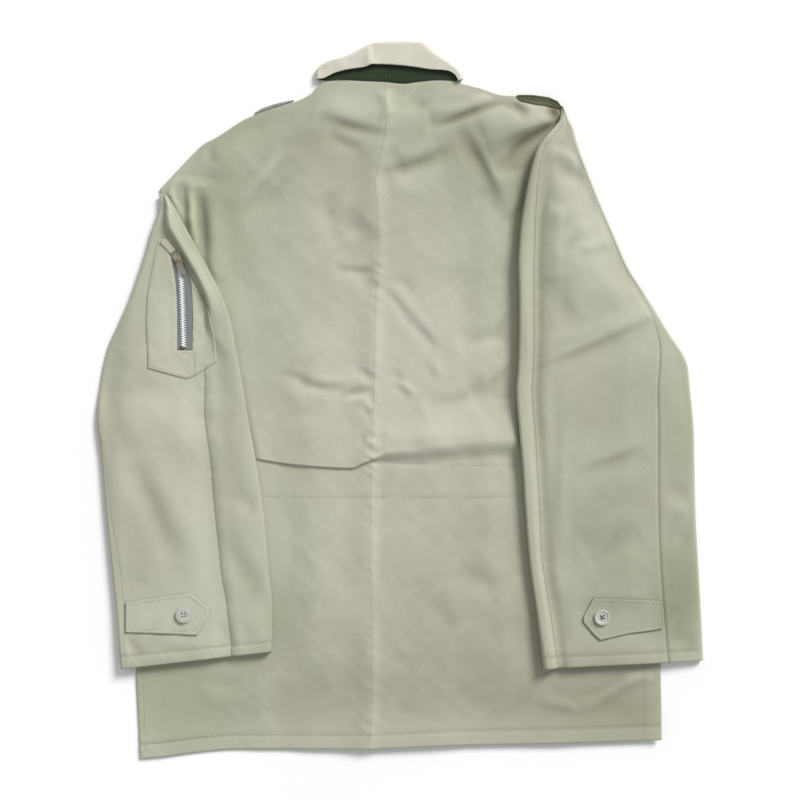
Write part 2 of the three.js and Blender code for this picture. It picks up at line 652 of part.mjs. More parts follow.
// A sewn-through button with four holes and a dished face
function button(name, place) {
  const { radius, thick, dish, hole, spread } = BUTTON;
  const profile = [
    [0, 0],
    [radius - 0.8, 0],
    [radius, 0.8],
    [radius, thick - 0.9],
    [radius - 0.8, thick],
    [dish + 0.4, thick],
    [dish - 0.5, thick - 0.9],
    [0, thick - 0.9],
  ].map(([x, y]) => new THREE.Vector2(x, y));
  const disc = new THREE.LatheGeometry(profile, 28).rotateX(Math.PI / 2);
  const holes = [-spread, spread].flatMap((x) =>
    [-spread, spread].map((y) =>
      new THREE.CylinderGeometry(hole, hole, 3 * thick, 10).rotateX(Math.PI / 2).translate(x, y, 0),
    ),
  );
  const mesh = piece(name, combine(disc, "subtract", holes), "button");
  mesh.position.set(place.x, place.y, SLEEVE_TOP + TAB + 2 * GAP);
  return mesh;
}

function cuffTabs() {
  const height = SLEEVE_TOP + GAP + TAB / 2;
  const tab = (rows) => strip(rows, column(rows, "x", "lower", false), TAB, height, 3);
  return [
    piece("cuff_tab_left", tab(TAB_LEFT), "twill"),
    piece("cuff_tab_right", tab(TAB_RIGHT), "twill"),
    button("cuff_button_left", BUTTON_LEFT),
    button("cuff_button_right", BUTTON_RIGHT),
  ];
}

const tapeLeft = column(ZIP, "y", "left");
const tapeRight = column(ZIP, "y", "right");
const teethLine = column(ZIP, "y", "teeth");

const zipRows = (foot, head) => [foot, ...ZIP_LEVELS.filter((y) => y > foot && y < head), head];

// The prism that cuts the zip's slot in the patch
function zipSlot() {
  const levels = zipRows(ZIP_FOOT - GAP, ZIP_HEAD + GAP);
  const outline = [
    ...levels.map((y) => new THREE.Vector2(tapeLeft(y) - GAP, y)),
    ...levels.reverse().map((y) => new THREE.Vector2(tapeRight(y) + GAP, y)),
  ];
  const depth = 2 * SLEEVE_TOP;
  return new THREE.ExtrudeGeometry(new THREE.Shape(outline), { depth, bevelEnabled: false });
}

function pocket() {
  const base = SLEEVE_TOP + GAP;
  const onSleeve = (left, right, foot, head, thick) => {
    const edges = { left, right, bottom: () => foot, top: () => head };
    const rows = () => zipRows(foot, head);
    return flatSheet({ ...edges, rows, columns: shares(1), middle: () => base + thick / 2, thick });
  };
  const patch = flatSheet({
    left: column(POCKET, "y", "left"),
    right: column(POCKET, "y", "right"),
    bottom: column(POCKET_FOOT, "x", "y", false),
    top: () => POCKET_TOP,
    columns: POCKET_COLUMNS,
    rows: evenRows(8),
    middle: () => base + PATCH / 2,
    thick: PATCH,
  });
  const teethEdge = (side, gap) => (y) => teethLine(y) + side * (TEETH.half + gap);
  const stopTop = TEETH_FOOT - GAP;
  const topTab = new THREE.Vector2(TOP_TAB.toX - TOP_TAB.x, TOP_TAB.toY - TOP_TAB.y);
  const tab = piece(
    "zip_top_tab",
    new THREE.BoxGeometry(topTab.length(), TOP_TAB.wide, TOP_TAB.thick),
    "twill",
  );
  tab.rotation.z = topTab.angle();
  tab.position.set(
    (TOP_TAB.x + TOP_TAB.toX) / 2,
    (TOP_TAB.y + TOP_TAB.toY) / 2,
    base + PATCH + GAP + TOP_TAB.thick / 2,
  );
  return [
    piece("sleeve_pocket", combine(patch, "subtract", [zipSlot()]), "twill"),
    piece(
      "zip_tape_left",
      onSleeve(tapeLeft, teethEdge(-1, GAP), ZIP_FOOT, ZIP_HEAD, PATCH),
      "tape",
    ),
    piece(
      "zip_tape_right",
      onSleeve(teethEdge(1, GAP), tapeRight, ZIP_FOOT, RIGHT_TAPE_HEAD, PATCH),
      "tape",
    ),
    piece(
      "zip_teeth",
      onSleeve(teethEdge(-1, 0), teethEdge(1, 0), TEETH_FOOT, TEETH_TOP, TEETH.thick),
      "teeth",
    ),
    piece("zip_stop", onSleeve(teethEdge(-1, 0), teethEdge(1, 0), ZIP_FOOT, stopTop, STOP), "copper"),
    tab,
  ];
}

// The slider and its pull tab, in the slider's own frame: +X across the zip, -Y down it, z 0 on the teeth
function slider() {
  const { long, wide, plate, skirt, bridge, opening } = SLIDER;
  const outline = new THREE.Shape();
  outline.moveTo(-wide / 2, long / 2);
  outline.lineTo(wide / 2, long / 2);
  outline.lineTo(wide / 3, -long / 2);
  outline.lineTo(-wide / 3, -long / 2);
  outline.closePath();
  const plain = { bevelEnabled: false };
  const top = new THREE.ExtrudeGeometry(outline, { ...plain, depth: plate + skirt }).translate(0, 0, -skirt);
  const groove = new THREE.BoxGeometry(2 * (TEETH.half + GAP), 2 * long, 2 * skirt).translate(0, 0, -skirt);
  const arch = new THREE.Shape();
  const foot = bridge.long / 2;
  arch.moveTo(-foot, -plate / 2);
  arch.lineTo(-foot, opening / 2);
  arch.quadraticCurveTo(-foot, opening + bridge.thick, 0, opening + bridge.thick);
  arch.quadraticCurveTo(foot, opening + bridge.thick, foot, opening / 2);
  arch.lineTo(foot, -plate / 2);
  arch.lineTo(foot - bridge.thick, -plate / 2);
  arch.lineTo(foot - bridge.thick, opening);
  arch.lineTo(bridge.thick - foot, opening);
  arch.lineTo(bridge.thick - foot, -plate / 2);
  arch.closePath();
  const bail = new THREE.ExtrudeGeometry(arch, { ...plain, depth: bridge.wide, curveSegments: 4 })
    .translate(0, 0, -bridge.wide / 2)
    .rotateX(Math.PI / 2)
    .rotateZ(Math.PI / 2)
    .translate(0, 0, plate);
  const body = combine(combine(top, "subtract", [groove]), "add", [bail]);

  const leaf = new THREE.Shape();
  const half = PULL.wide / 2;
  leaf.moveTo(-half, PULL.bar / 2);
  leaf.lineTo(half, PULL.bar / 2);
  leaf.lineTo(half, half - PULL.long);
  leaf.absarc(0, half - PULL.long, half, 0, -Math.PI, true);
  leaf.closePath();
  const eye = new THREE.Path();
  eye.moveTo(-PULL.eye / 2, -PULL.bar / 2);
  eye.lineTo(-PULL.eye / 2, -PULL.bar / 2 - PULL.eye);
  eye.lineTo(PULL.eye / 2, -PULL.bar / 2 - PULL.eye);
  eye.lineTo(PULL.eye / 2, -PULL.bar / 2);
  eye.closePath();
  leaf.holes.push(eye);
  const tab = new THREE.ExtrudeGeometry(leaf, { ...plain, depth: PULL.thick, curveSegments: 6 });
  const pull = piece("pull_tab", tab.translate(0, 0, plate + opening / 2 - PULL.thick / 2), "copper");

  const group = new THREE.Group();
  group.add(piece("zip_slider", body, "metal"), pull);
  group.position.set(SLIDER.x, SLIDER.y, SLEEVE_TOP + TEETH.thick + 2 * GAP);
  group.rotation.z = SLIDER.turn;
  return group;
}

// ---------------------------------------------------------------------------
// Joining and cutting
// ---------------------------------------------------------------------------

function solid(geometry) {
  const bare = geometry.clone();
  bare.deleteAttribute("normal");
  bare.deleteAttribute("uv");
  const merged = mergeVertices(bare, 1e-4);
  const vertProperties = merged.getAttribute("position").array;
  const triVerts = new Uint32Array(merged.getIndex().array);
  return new wasm.Manifold(new wasm.Mesh({ numProp: 3, vertProperties, triVerts }));
}

// The first shape joined with the others, or cut by them
function combine(geometry, how, others) {
  const made = others.reduce((sum, other) => sum[how](solid(other)), solid(geometry)).getMesh();
  const result = new THREE.BufferGeometry();
  result.setAttribute("position", new THREE.BufferAttribute(made.vertProperties, 3));
  result.setIndex(new THREE.BufferAttribute(made.triVerts, 1));
  result.computeVertexNormals();
  return result;
}

// ---------------------------------------------------------------------------
// The whole
// ---------------------------------------------------------------------------

const parka = new THREE.Group();
parka.add(
  ...body(),
  ...sleeve("sleeve_left", SLEEVE_LEFT, 1),
  ...sleeve("sleeve_right", SLEEVE_RIGHT, -1),
  ...collar(),
  ...straps(),
  ...cuffTabs(),
  ...pocket(),
  slider(),
);

// The origin is under the middle of the whole parka, on the table
parka.updateMatrixWorld(true);
const middle = new THREE.Box3().setFromObject(parka, true).getCenter(new THREE.Vector3());
parka.position.set(-middle.x, -middle.y, 0);

export default parka;
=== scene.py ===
"""The looks of a cotton army parka, laid face down with both sleeves swung in over its back.

Every piece is worked out in millimetres, +X to the wearer's right, +Y up to the collar and +Z up from
the table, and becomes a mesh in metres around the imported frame. Run as a script, it dresses the frame
and sets the stage.
"""
import math
import random

import bmesh
import bpy
import numpy as np
from mathutils import Matrix, Vector


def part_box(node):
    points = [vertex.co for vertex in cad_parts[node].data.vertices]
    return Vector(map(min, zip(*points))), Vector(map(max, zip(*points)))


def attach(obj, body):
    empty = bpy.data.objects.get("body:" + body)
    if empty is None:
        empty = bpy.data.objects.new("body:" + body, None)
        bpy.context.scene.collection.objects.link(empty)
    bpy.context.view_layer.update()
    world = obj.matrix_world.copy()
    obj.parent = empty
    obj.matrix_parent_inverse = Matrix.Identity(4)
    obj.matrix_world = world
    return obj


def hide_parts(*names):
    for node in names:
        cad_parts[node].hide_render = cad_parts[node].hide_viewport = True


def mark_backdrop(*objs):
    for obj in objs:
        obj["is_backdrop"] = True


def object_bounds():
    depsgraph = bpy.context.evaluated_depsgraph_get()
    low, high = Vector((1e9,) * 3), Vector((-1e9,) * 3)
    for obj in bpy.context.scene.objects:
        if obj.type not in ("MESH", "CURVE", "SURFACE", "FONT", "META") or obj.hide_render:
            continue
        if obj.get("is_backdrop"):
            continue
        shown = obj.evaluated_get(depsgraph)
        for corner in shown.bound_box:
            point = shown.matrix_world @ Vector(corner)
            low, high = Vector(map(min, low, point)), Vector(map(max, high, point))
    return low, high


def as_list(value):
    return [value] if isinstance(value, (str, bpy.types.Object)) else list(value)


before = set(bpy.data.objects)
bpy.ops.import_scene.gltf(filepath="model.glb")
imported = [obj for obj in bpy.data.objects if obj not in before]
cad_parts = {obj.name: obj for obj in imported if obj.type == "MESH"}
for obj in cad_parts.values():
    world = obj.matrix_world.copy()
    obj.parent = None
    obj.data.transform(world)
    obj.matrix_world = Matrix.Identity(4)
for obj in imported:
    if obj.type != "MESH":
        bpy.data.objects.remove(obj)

bl_info = {
    "name": "Army parka, laid flat",
    "version": (1, 0, 0),
    "blender": (4, 5, 0),
    "location": "3D View > Sidebar > Parka",
    "description": "Dresses a packed parka with its cloth, seams, stitching, buttons and sleeve zip",
    "category": "Object",
}

CAD_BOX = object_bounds()
COAT = "coat"
MM = 0.001

# ---- Sizes in millimetres, the layers as the frame has them ----

CLOTH = 1.2
GAP = 0.3
HALF = CLOTH / 2
LAYER = CLOTH + GAP
FRONT_MIDDLE = HALF
BACK_MIDDLE = FRONT_MIDDLE + LAYER
BODY_TOP = BACK_MIDDLE + HALF
SLEEVE_MIDDLE = BODY_TOP + GAP + HALF
SLEEVE_LIFT = 1.5

# Between two pieces sewn together, under a piece laid on another, and how far rims are rounded over
SEAM_GAP = 0.05
LAID = 0.1
RIM = 0.42
SEAM_RIM = 0.06
STRAP_RIM = 0.5
PATCH_RIM = 0.35
TAPE_RIM = 0.2

# The fronts, and the levels that the panels' grids run between
CENTRE_FRONT = -28
LAP = 30
LAP_RAMP = (10, 38)
FRONT_SHORT = 2
FRONT_GRID = 9
FRONT_COLUMNS = 44
FRONT_HEAD = 352
HEM_LEVEL = -400
HEM_REACH = 110
SPREAD_LEVEL = 150
TOP_LEVEL = 366

# The back: how it rises over the collar and fills out between the sleeves, and its hem and waist
BACK_BREADTH = 290
CROWN = 2
CROWN_SPAN = (68, 116)
CROWN_FADE = (8, 45)
LOFT = 4.6
LOFT_LEFT = (8, 80)
LOFT_RIGHT = (4, 44)
LOFT_HEAD = (2, 40)
LOFT_FOOT = (10, 110)
SLEEVE_CLEAR = -306
HEM_DEPTH = 17
HEM_STAND = 3.5
WAIST_LEVEL = -68
WAIST_REACH = 70
WAIST_REACH_RIGHT = 44
CASING = (-75, -111)
CASING_START = 58
SIDE_STITCH = 281

# The sleeves and their cuffs, which stand open by so much on the flat and at the rolled edge
ROLL_WIDTH = 26
DROOP = (12, 40)
SLEEVE_LOFT = 1.5
TIPPED = 0.62
TIPPED_LEVELS = (45, 95)
CUFF_DEPTH = 14
CUFF_REACH = 90
CUFF_OPEN_LEFT = (1.1, 0.7)
CUFF_OPEN_RIGHT = (0.4, 2)

# The collar: how far each cloth runs from its free edge to the roll, round it and down to the seam
COLLAR_FALL = 26
COLLAR_ROLL = 9
COLLAR_STAND = 46
UNDER_BEND = 1.35
COLLAR_BEND = UNDER_BEND + LAYER
UNDER_INSET = 1.5
NECK_GAP_BACK = 0.7
NECK_GAP_FRONT = 1.6

# Straps, cuff tabs, and the pocket and zip that lie on the left sleeve's outer piece
LEFT_OUTER = "cloth_sleeve_left_outer"
STRAP = 1.6
STRAP_STITCHES = (2.2, 5.4)
TAB = 1.8
TAB_STITCH = 4.4
PATCH = 1.0
POCKET_STITCH = 1.9
ZIP_STITCH = 2.2
SLOT_AREA = 0.0014
TAPE = 0.75
TAPE_SIDE = 2.3
TOOTH = (4.3, 1.4, 1.8)
TOOTH_BEVEL = 0.32
TOOTH_SIDE = 0.95
TOOTH_LEAN = 3
TOOTH_HEIGHT = 1.35
STOP = (5.6, 3.8, 1.5)
HEAD_TAB = (18.4, 7.8, 1.1)
HEAD_TAB_TURN = math.atan2(-13.5, 12.5)

# Where rows of stitches run, and how deep they sink into the thicker pieces
HEM_ROW = (-294, 297)
CASING_ROWS = ((-200, 175), (CASING_START, 160))
SIDE_ROW = [(SIDE_STITCH, -388), (SIDE_STITCH, -290)]
LEFT_SIDE_ROW = [(-291.5, -405), (-296, -300)]
SLEEVE_ROWS = (1.6, 5.0)
SLEEVE_ROW_SPAN = (62, 222)
POCKET_ROW = 1.6
TAB_SUNK = 0.3
STRAP_SUNK = 0.1

# Buttons: their rim and dish, the thread across them, where each one lies and how far its holes are turned
BUTTON_RADIUS = 9
BUTTON_THICK = 3
BUTTON_RIM = 2.3
BUTTON_DISH = 0.85
BUTTON_SPREAD = 2.5
BUTTON_HOLE = 0.95
THREAD_BAR = (2 * BUTTON_SPREAD + 0.8, 0.75, 0.5)
BUTTONS = {"left": ((-247, -245.2), 0.2), "right": ((231, -248.2), 0.1)}

# How dark the painted shade makes the cloth: at turned edges, at seams, along the rolled edge and along
# stitches
TURNED_SHADES = {"foot": 1.5, "right": 1.5, "head": 1.5, "left": 1.5}
SEAM_SHADES_LEFT = (0.5, 1.3)
SEAM_SHADES_RIGHT = (1.3, 1.2)
ROLLED_EDGE_SHADE = 1.0
HEM_STITCH_SHADE = 0.9
WAIST_STITCH_SHADE = 0.3

# The cloth's dye, the tint that darker tone and painted shade take it towards, and its weave
DYE_KEPT = 0.6
SHADE_AND_TONE_TINT = (0.62, 0.615, 0.51)
TWILL_PITCH = 1.0
TWILL_SLANT = math.radians(58)
TAPE_PITCH = 1.1

# The stage, in metres, and the camera's sensor in millimetres
TABLE_SHADE = (0.928, 0.928, 0.928, 1)
KEY_DISTANCE = 3
SENSOR = 36

# The cut of each piece: width and length of the cloth that it comes from, a sleeve's width going all round
# it, and the area in square metres that is left once it is shaped
CUTS = {
    "back_left": (290, 780, 0.199),
    "back_right": (336, 770, 0.213),
    "front_left": (307, 762, 0.213),
    "front_right": (358, 754, 0.238),
    "sleeve_left_outer": (118, 534, 0.049),
    "sleeve_left_inner": (232, 534, 0.104),
    "sleeve_right_outer": (156, 625, 0.079),
    "sleeve_right_inner": (268, 625, 0.130),
    "top_collar": (96, 245, 0.0165),
    "under_collar": (58, 235, 0.0086),
}


def table(names, *rows):
    """A table with named columns, one row for each section, crease or place."""
    return dict(zip(names.split(), np.array(rows, float).T))


BODY = table(
    "y left centre right",
    (-412, -298, -36, 300),
    (-353, -301, -33, 300),
    (-288, -304, -32, 299),
    (-184, -305, -34, 298),
    (-75, -304, -33, 297),
    (15, -301, -30, 293),
    (61, -297, -29, 285),
    (110, -290, -28, 270),
    (164, -278, -25, 246),
    (214, -268, -26, 224),
    (246, -276, -28, 210),
    (302, -276, -18, 194),
    (322, -276, -16, 191),
    (332, -276, -16, 188),
    (368, -276, -18, 185),
)
HEM = table(
    "x y",
    (-298, -412),
    (-267, -409.2),
    (-235, -405),
    (-190, -401),
    (-36, -400),
    (64, -396),
    (175, -394),
    (300, -390),
)
TOP = table(
    "x back front",
    (-276, 242, 242),
    (-260, 259, 258),
    (-244, 276, 275),
    (-225, 294, 293),
    (-210, 302, 301),
    (-177, 323, 321),
    (-159, 330, 328),
    (-145, 335, 333),
    (-125, 341, 339),
    (-103, 351, 349),
    (-94, 361, 354),
    (-85, 366, 344),
    (-64, 367, 330),
    (-40, 366, 320),
    (-18, 365, 315),
    (5, 363, 314),
    (20, 365, 317),
    (46, 367, 330),
    (60, 366, 342),
    (72, 363, 356),
    (92, 358, 356),
    (118, 350, 348),
    (154, 348, 346),
    (171, 345, 343),
    (181, 340, 338),
    (186, 332, 331),
)
SLEEVE_COLUMNS = "y outer inner outerSeam innerSeam roll tilt"
SLEEVE_LEFT = table(
    SLEEVE_COLUMNS,
    (236, -276, -268, 2.7, 4, 1.5, 0),
    (221, -275, -258, 3, 11, 1.9, 0),
    (208, -279, -251, 3, 18, 2.3, 0),
    (195, -284, -244, 3, 22, 2.5, 0),
    (170, -291, -230, 3, 21, 2.0, 0),
    (140, -301, -214, 3, 20, 2.0, 0),
    (113, -311, -201, 3, 22, 2.0, 0),
    (87, -323, -193, 3, 29, 2.0, 0),
    (60, -335, -188, 3, 38, 1.9, 0),
    (23, -343, -181, 3, 43, 1.8, 0),
    (-21, -348, -174, 3, 50, 1.7, 0),
    (-64, -343, -166, 4, 52, 1.7, 0),
    (-131, -337, -156, 6, 56, 1.7, 0),
    (-197, -330, -150, 10, 55, 1.7, 0),
    (-241, -325, -146, 9, 52, 1.7, 8),
    (-278, -322, -146, 7, 48, 1.8, 16),
    (-298, -320, -147, 7, 46, 1.9, 20),
)
SLEEVE_RIGHT = table(
    SLEEVE_COLUMNS,
    (337, 187, 184.6, 0.4, 0.8, 0.4, 0),
    (330, 190, 184.2, 1.4, 2, 0.9, 0),
    (322, 193, 183, 2.7, 4, 1.5, 0),
    (312, 198, 176, 3, 8, 1.9, 0),
    (301, 201, 166, 3, 8, 2.3, 0),
    (288, 205, 157, 3, 8, 2.5, 0),
    (262, 215, 149, 3, 10, 2.6, 0),
    (227, 229, 142, 3, 14, 2.6, 0),
    (190, 245, 137, 3, 18, 2.6, 0),
    (153, 261, 135, 3, 19, 2.6, 0),
    (121, 281, 136, 3, 18, 2.4, 0),
    (80, 306, 136, 12, 18, 2.4, 0),
    (39, 330, 135, 33, 18, 2.4, 0),
    (10, 333, 133, 38, 19, 2.4, 0),
    (-34, 337, 136, 41, 19, 2.2, 0),
    (-76, 338, 140, 42, 17, 2.2, 0),
    (-123, 339, 143, 43, 17, 2, 0),
    (-184, 342, 148, 44, 15, 2, 0),
    (-240, 345, 156, 43, 16, 2, -4),
    (-303, 348, 164, 41, 18, 2, -9),
)
WAIST = table(
    "x y step soft",
    (-190, -64, 2.7, 1.8),
    (-165, -68, 2.8, 1.6),
    (-118, -74.5, 2.9, 1.4),
    (-56, -78, 3.1, 1.4),
    (-40, -72, 4.6, 3),
    (-28, -68, 6, 7),
    (-14, -65, 7, 13),
    (0, -64.5, 6.4, 15),
    (47, -61, 7, 21),
    (92, -57, 7.4, 22),
    (134, -54, 7.6, 22),
)
# How far the rolled edge of each sleeve stands off the body
OVERHANG_LEFT = table(
    "y lift",
    (236, 0.5),
    (226, 6),
    (205, 8.5),
    (170, 7.5),
    (100, 6.6),
    (60, 2.6),
    (30, 1.4),
    (-80, 2.2),
    (-120, 1.8),
    (-220, 1.8),
    (-298, 2.4),
)
OVERHANG_RIGHT = table(
    "y lift",
    (337, 0.5),
    (322, 2),
    (300, 6.5),
    (240, 8.5),
    (120, 8.2),
    (30, 7.5),
    (-120, 6),
    (-220, 5),
    (-303, 4.2),
)
# How far each sleeve fills out beside its inner seam, and how wide that slope is
CROWN_LEFT = table("y rise reach", (236, 0, 20), (-298, 0, 20))
CROWN_RIGHT = table(
    "y rise reach",
    (337, 0, 10),
    (300, 0.6, 12),
    (270, 3, 18),
    (220, 5.6, 27),
    (130, 6, 30),
    (90, 5, 30),
    (60, 2.8, 20),
    (-200, 2.8, 18),
    (-303, 1.2, 12),
)
COLLAR = table(
    "rollX rollY edgeX edgeY seamX frontX lift",
    (-97, 367, -87, 369, -84, -88, 0),
    (-97, 376, -75, 375, -74, -80, 0),
    (-83, 389, -60, 379, -62, -66, 0.3),
    (-62, 395, -40, 382, -43, -46, 0),
    (-36, 408, -30, 385, -30, -27, 1.2),
    (-26, 411, -22, 385, -20, -19, 0),
    (-3, 412, -4, 384, -6, -5, 0.4),
    (24, 411, 15, 382, 15, 14, 0.4),
    (43, 397, 36, 379, 34, 33, 0),
    (59, 386, 53, 378, 48, 48, 0.2),
    (70, 376, 63, 373, 58, 59, 0),
    (73, 368, 67, 366, 63, 66, 0),
)
EDGE_COLUMNS = "x lower upper"
STRAP_LEFT = table(
    EDGE_COLUMNS,
    (-167, 328.6, 330.2),
    (-159, 331.6, 335),
    (-145, 336.4, 340),
    (-132, 340.6, 343),
    (-122, 343.8, 345),
)
STRAP_RIGHT = table(
    EDGE_COLUMNS,
    (134, 348, 350),
    (139, 343, 350.4),
    (154, 339, 350),
    (171, 336.5, 347.5),
    (181, 334.5, 343),
    (186, 333, 336),
)
TAB_LEFT = table(
    EDGE_COLUMNS,
    (-314, -266, -231),
    (-284, -267, -226),
    (-258, -268, -222),
    (-239, -269, -220),
    (-232, -269, -226),
    (-217, -242, -239),
)
TAB_RIGHT = table(
    EDGE_COLUMNS,
    (209, -253, -249),
    (221, -268, -225.5),
    (229, -275, -226),
    (263, -267, -227),
    (284, -264.5, -228),
    (300, -262, -229),
)
POCKET = table(
    "y left right",
    (24, -289, -210),
    (44, -289, -210),
    (92, -291, -216),
    (122, -289, -229),
    (150, -284, -246),
    (184, -277, -264),
)
POCKET_FOOT = table("x y", (-291, 37), (-244, 24), (-235, 27.5), (-210, 44))
POCKET_TOP = 184
POCKET_OUTLINE = [
    (-276, 184), (-284, 150), (-289, 122), (-291, 92), (-289, 37.5),
    (-244, 24), (-235, 27.5), (-210, 44), (-216, 92), (-229, 122),
]
POCKET_SEAM = [(-237.2, 56), (-236, 28)]
ZIP = table(
    "y left teeth right",
    (57, -255, -247.7, -238),
    (94, -255, -248.8, -237.5),
    (130, -256.5, -250.2, -239),
    (150, -259.4, -252.2, -244.2),
    (169, -264, -258, -254.5),
)
ZIP_FOOT = 57
ZIP_HEAD = 169
RIGHT_TAPE_HEAD = 160
TEETH_FOOT = 61.5
TEETH_TOP = 156

# Creases: from one place to another, how far the middle bows to its left, the breadth of each flank, how
# much steeper the left flank is than the right one, and how far the cloth rises or, below zero, sinks
CREASE_COLUMNS = "x y toX toY bow width lean rise"
BACK_CREASES = table(
    CREASE_COLUMNS,
    # the neck and the right shoulder
    (-98, 328, -6, 303, -3, 6, 0.3, -2.9),
    (-84, 334, -26, 318, -3, 12, 0, 2.2),
    (-82, 306, -42, 288, -2, 6, 0.2, -1.9),
    (-19, 358, -12, 324, 0, 6, 0, 2.8),
    (12, 350, 28, 332, 0, 9, 0.2, -2.6),
    (34, 350, 92, 352, 2, 9, 0, 1.6),
    (32, 313, 126, 350, -4, 5.5, -0.35, -4.8),
    (36, 322, 122, 354, -3, 8, -0.4, 4.5),
    (106, 350, 148, 326, 2, 6, 0.2, -4),
    (124, 352, 156, 328, 1, 6, 0, 2.6),
    (222, 345, 98, 296, 3, 14, 0.45, 11),
    (212, 328, 106, 260, -5, 10, -0.35, -6),
    (168, 338, 192, 310, 0, 8, 0, -6),
    # the right shoulder blade
    (60, 322, 116, 212, 5, 14, 0.2, -2.8),
    (72, 326, 128, 214, 3, 14, -0.5, 5),
    (94, 290, 124, 254, 0, 10, 0, -2.4),
    (112, 262, 128, 214, 3, 12, 0, 1.6),
    (-30, 255, 64, 291, -3, 8, 0.25, -4.6),
    (-2, 276, 40, 296, -4, 11, 0, 2.6),
    (-10, 240, 52, 256, -6, 15, 0, 1.8),
    (96, 232, 122, 150, 4, 18, 0, 1.4),
    (62, 160, 84, 60, 4, 16, 0, -1.2),
    # the left shoulder
    (-221, 296, -216, 268, 2, 6, 0, -2),
    (-205, 300, -196, 250, 0, 16, 0, 1.4),
    (-221, 254, -214, 130, 1, 14, -0.4, 7),
    (-130, 292, -192, 217, 2, 7, 0.3, 3.2),
    (-116, 276, -178, 206, 3, 11, 0, -2.4),
    (-160, 250, -146, 190, 6, 20, 0, -1.2),
    (-233, 244, -228, 146, 2, 7.5, -0.25, -7.5),
    (-242, 258, -237, 156, 1, 8, -0.25, 6),
    (-254, 250, -242, 178, 0, 6, 0, -4),
    (-273, 248, -243, 198, 0, 6, 0, 5),
    (-206, 190, -190, 120, 3, 14, 0, -1.6),
    (-256, 262, -262, 232, 0, 6, 0, 2.2),
    (-180, 130, -150, 60, 0, 18, 0, -1),
    # between the shoulder blades
    (-88, 240, -62, 184, -4, 12, 0, -3.2),
    (-64, 222, -30, 176, 0, 12, 0.2, -1.9),
    (-80, 212, -52, 176, 0, 7, 0, 1),
    (-76, 152, -28, 148, -2, 5, 0, -2.6),
    (-46, 150, -30, 122, 0, 9, 0, -2.4),
    (-100, 180, -60, 120, 5, 18, 0, 1.2),
    (10, 200, 50, 140, -6, 24, 0, 1),
    # pulls across the centre
    (-18, 129, 16, 84, 2, 4, 0.3, -1.5),
    (10, 94, 44, 54, 2, 4, 0.3, -1.5),
    (-12, 130, 46, 62, 4, 6, 0, 0.8),
    (-4, 144, 18, 120, 0, 6, 0, -1.6),
    (34, 46, 48, 22, 2, 5, 0, 0.9),
    (26, 44, 42, 18, 2, 5, 0, -0.7),
    # the small of the back
    (-142, 31, -100, 16, 3, 5, 0, -1.6),
    (-120, 22, -62, 14, -3, 5, 0.2, -2.6),
    (-140, 16, -106, 0, 0, 8, 0, 0.6),
    (-108, 22, -40, 26, -3, 9, 0, 1.8),
    (-70, 4, -30, 10, 3, 4.5, 0.2, -2.2),
    (-66, -3, -34, 0, 2, 5, 0, 2),
    (-52, 36, -29, 22, 1, 5, 0, -1.7),
    (-44, -12, -32, -18, 0, 4, 0, -1.6),
    (-14, 34, 6, 16, 2, 5, 0, -1.4),
    (-12, 18, 12, 2, 2, 3.5, 0, -1.4),
    (-2, 22, 20, 4, 0, 4, 0, 1.8),
    (-30, -8, -60, -22, 0, 8, 0, 1.2),
    (66, 66, 132, 86, -3, 9, 0, -2.8),
    (30, -10, 100, 14, -3, 12, 0.2, -4),
    (80, 2, 152, 44, -4, 13, 0.2, -5.6),
    (20, -48, 140, -36, 3, 15, 0, 2.8),
    (-20, -46, 60, -40, 2, 12, 0, 2.2),
    (-150, -22, -84, -14, 2, 9, 0, -1),
    (-46, -38, -36, -52, 0, 6, 0, -1.7),
    (-38, -54, -24, -64, 0, 5, 0, -1.7),
    (-42, -46, -28, -52, 0, 4, 0, 1.8),
    (-32, -72.5, 50, -74, 0, 1.8, 0, -0.8),
    # the skirt of the coat
    (60, -192, 122, -226, 4, 13, 0, -2.4),
    (34, -226, 62, -266, 0, 12, 0, -1.6),
    (60, -262, 120, -300, 0, 16, 0, 0.8),
    (-14, -288, 26, -304, 0, 8, 0, -0.9),
    (-8, -346, 36, -372, -2, 8, 0, -1),
    (60, -340, 150, -376, 4, 12, 0, -0.3),
    (-150, -226, -100, -246, 0, 14, 0, -1.6),
    (-132, -300, -170, -340, 0, 18, 0, 1.2),
    (-100, -130, -92, -230, 0, 12, 0, 0.8),
    (208, -370, 288, -326, 3, 7, 0.2, -2.8),
    (210, -356, 290, -313, 3, 9, -0.4, 3.2),
    (150, -357, 218, -373, 4, 9, 0, -2),
    (148, -345, 220, -361, 3, 11, -0.35, 2.1),
    (170, -330, 262, -318, -4, 14, 0, -2),
    (-280, -316, -180, -326, 4, 10, 0, -1.4),
    (-262, -366, -190, -380, 3, 9, 0, -1.4),
    (-240, -330, -150, -352, 3, 14, 0, 1.4),
)
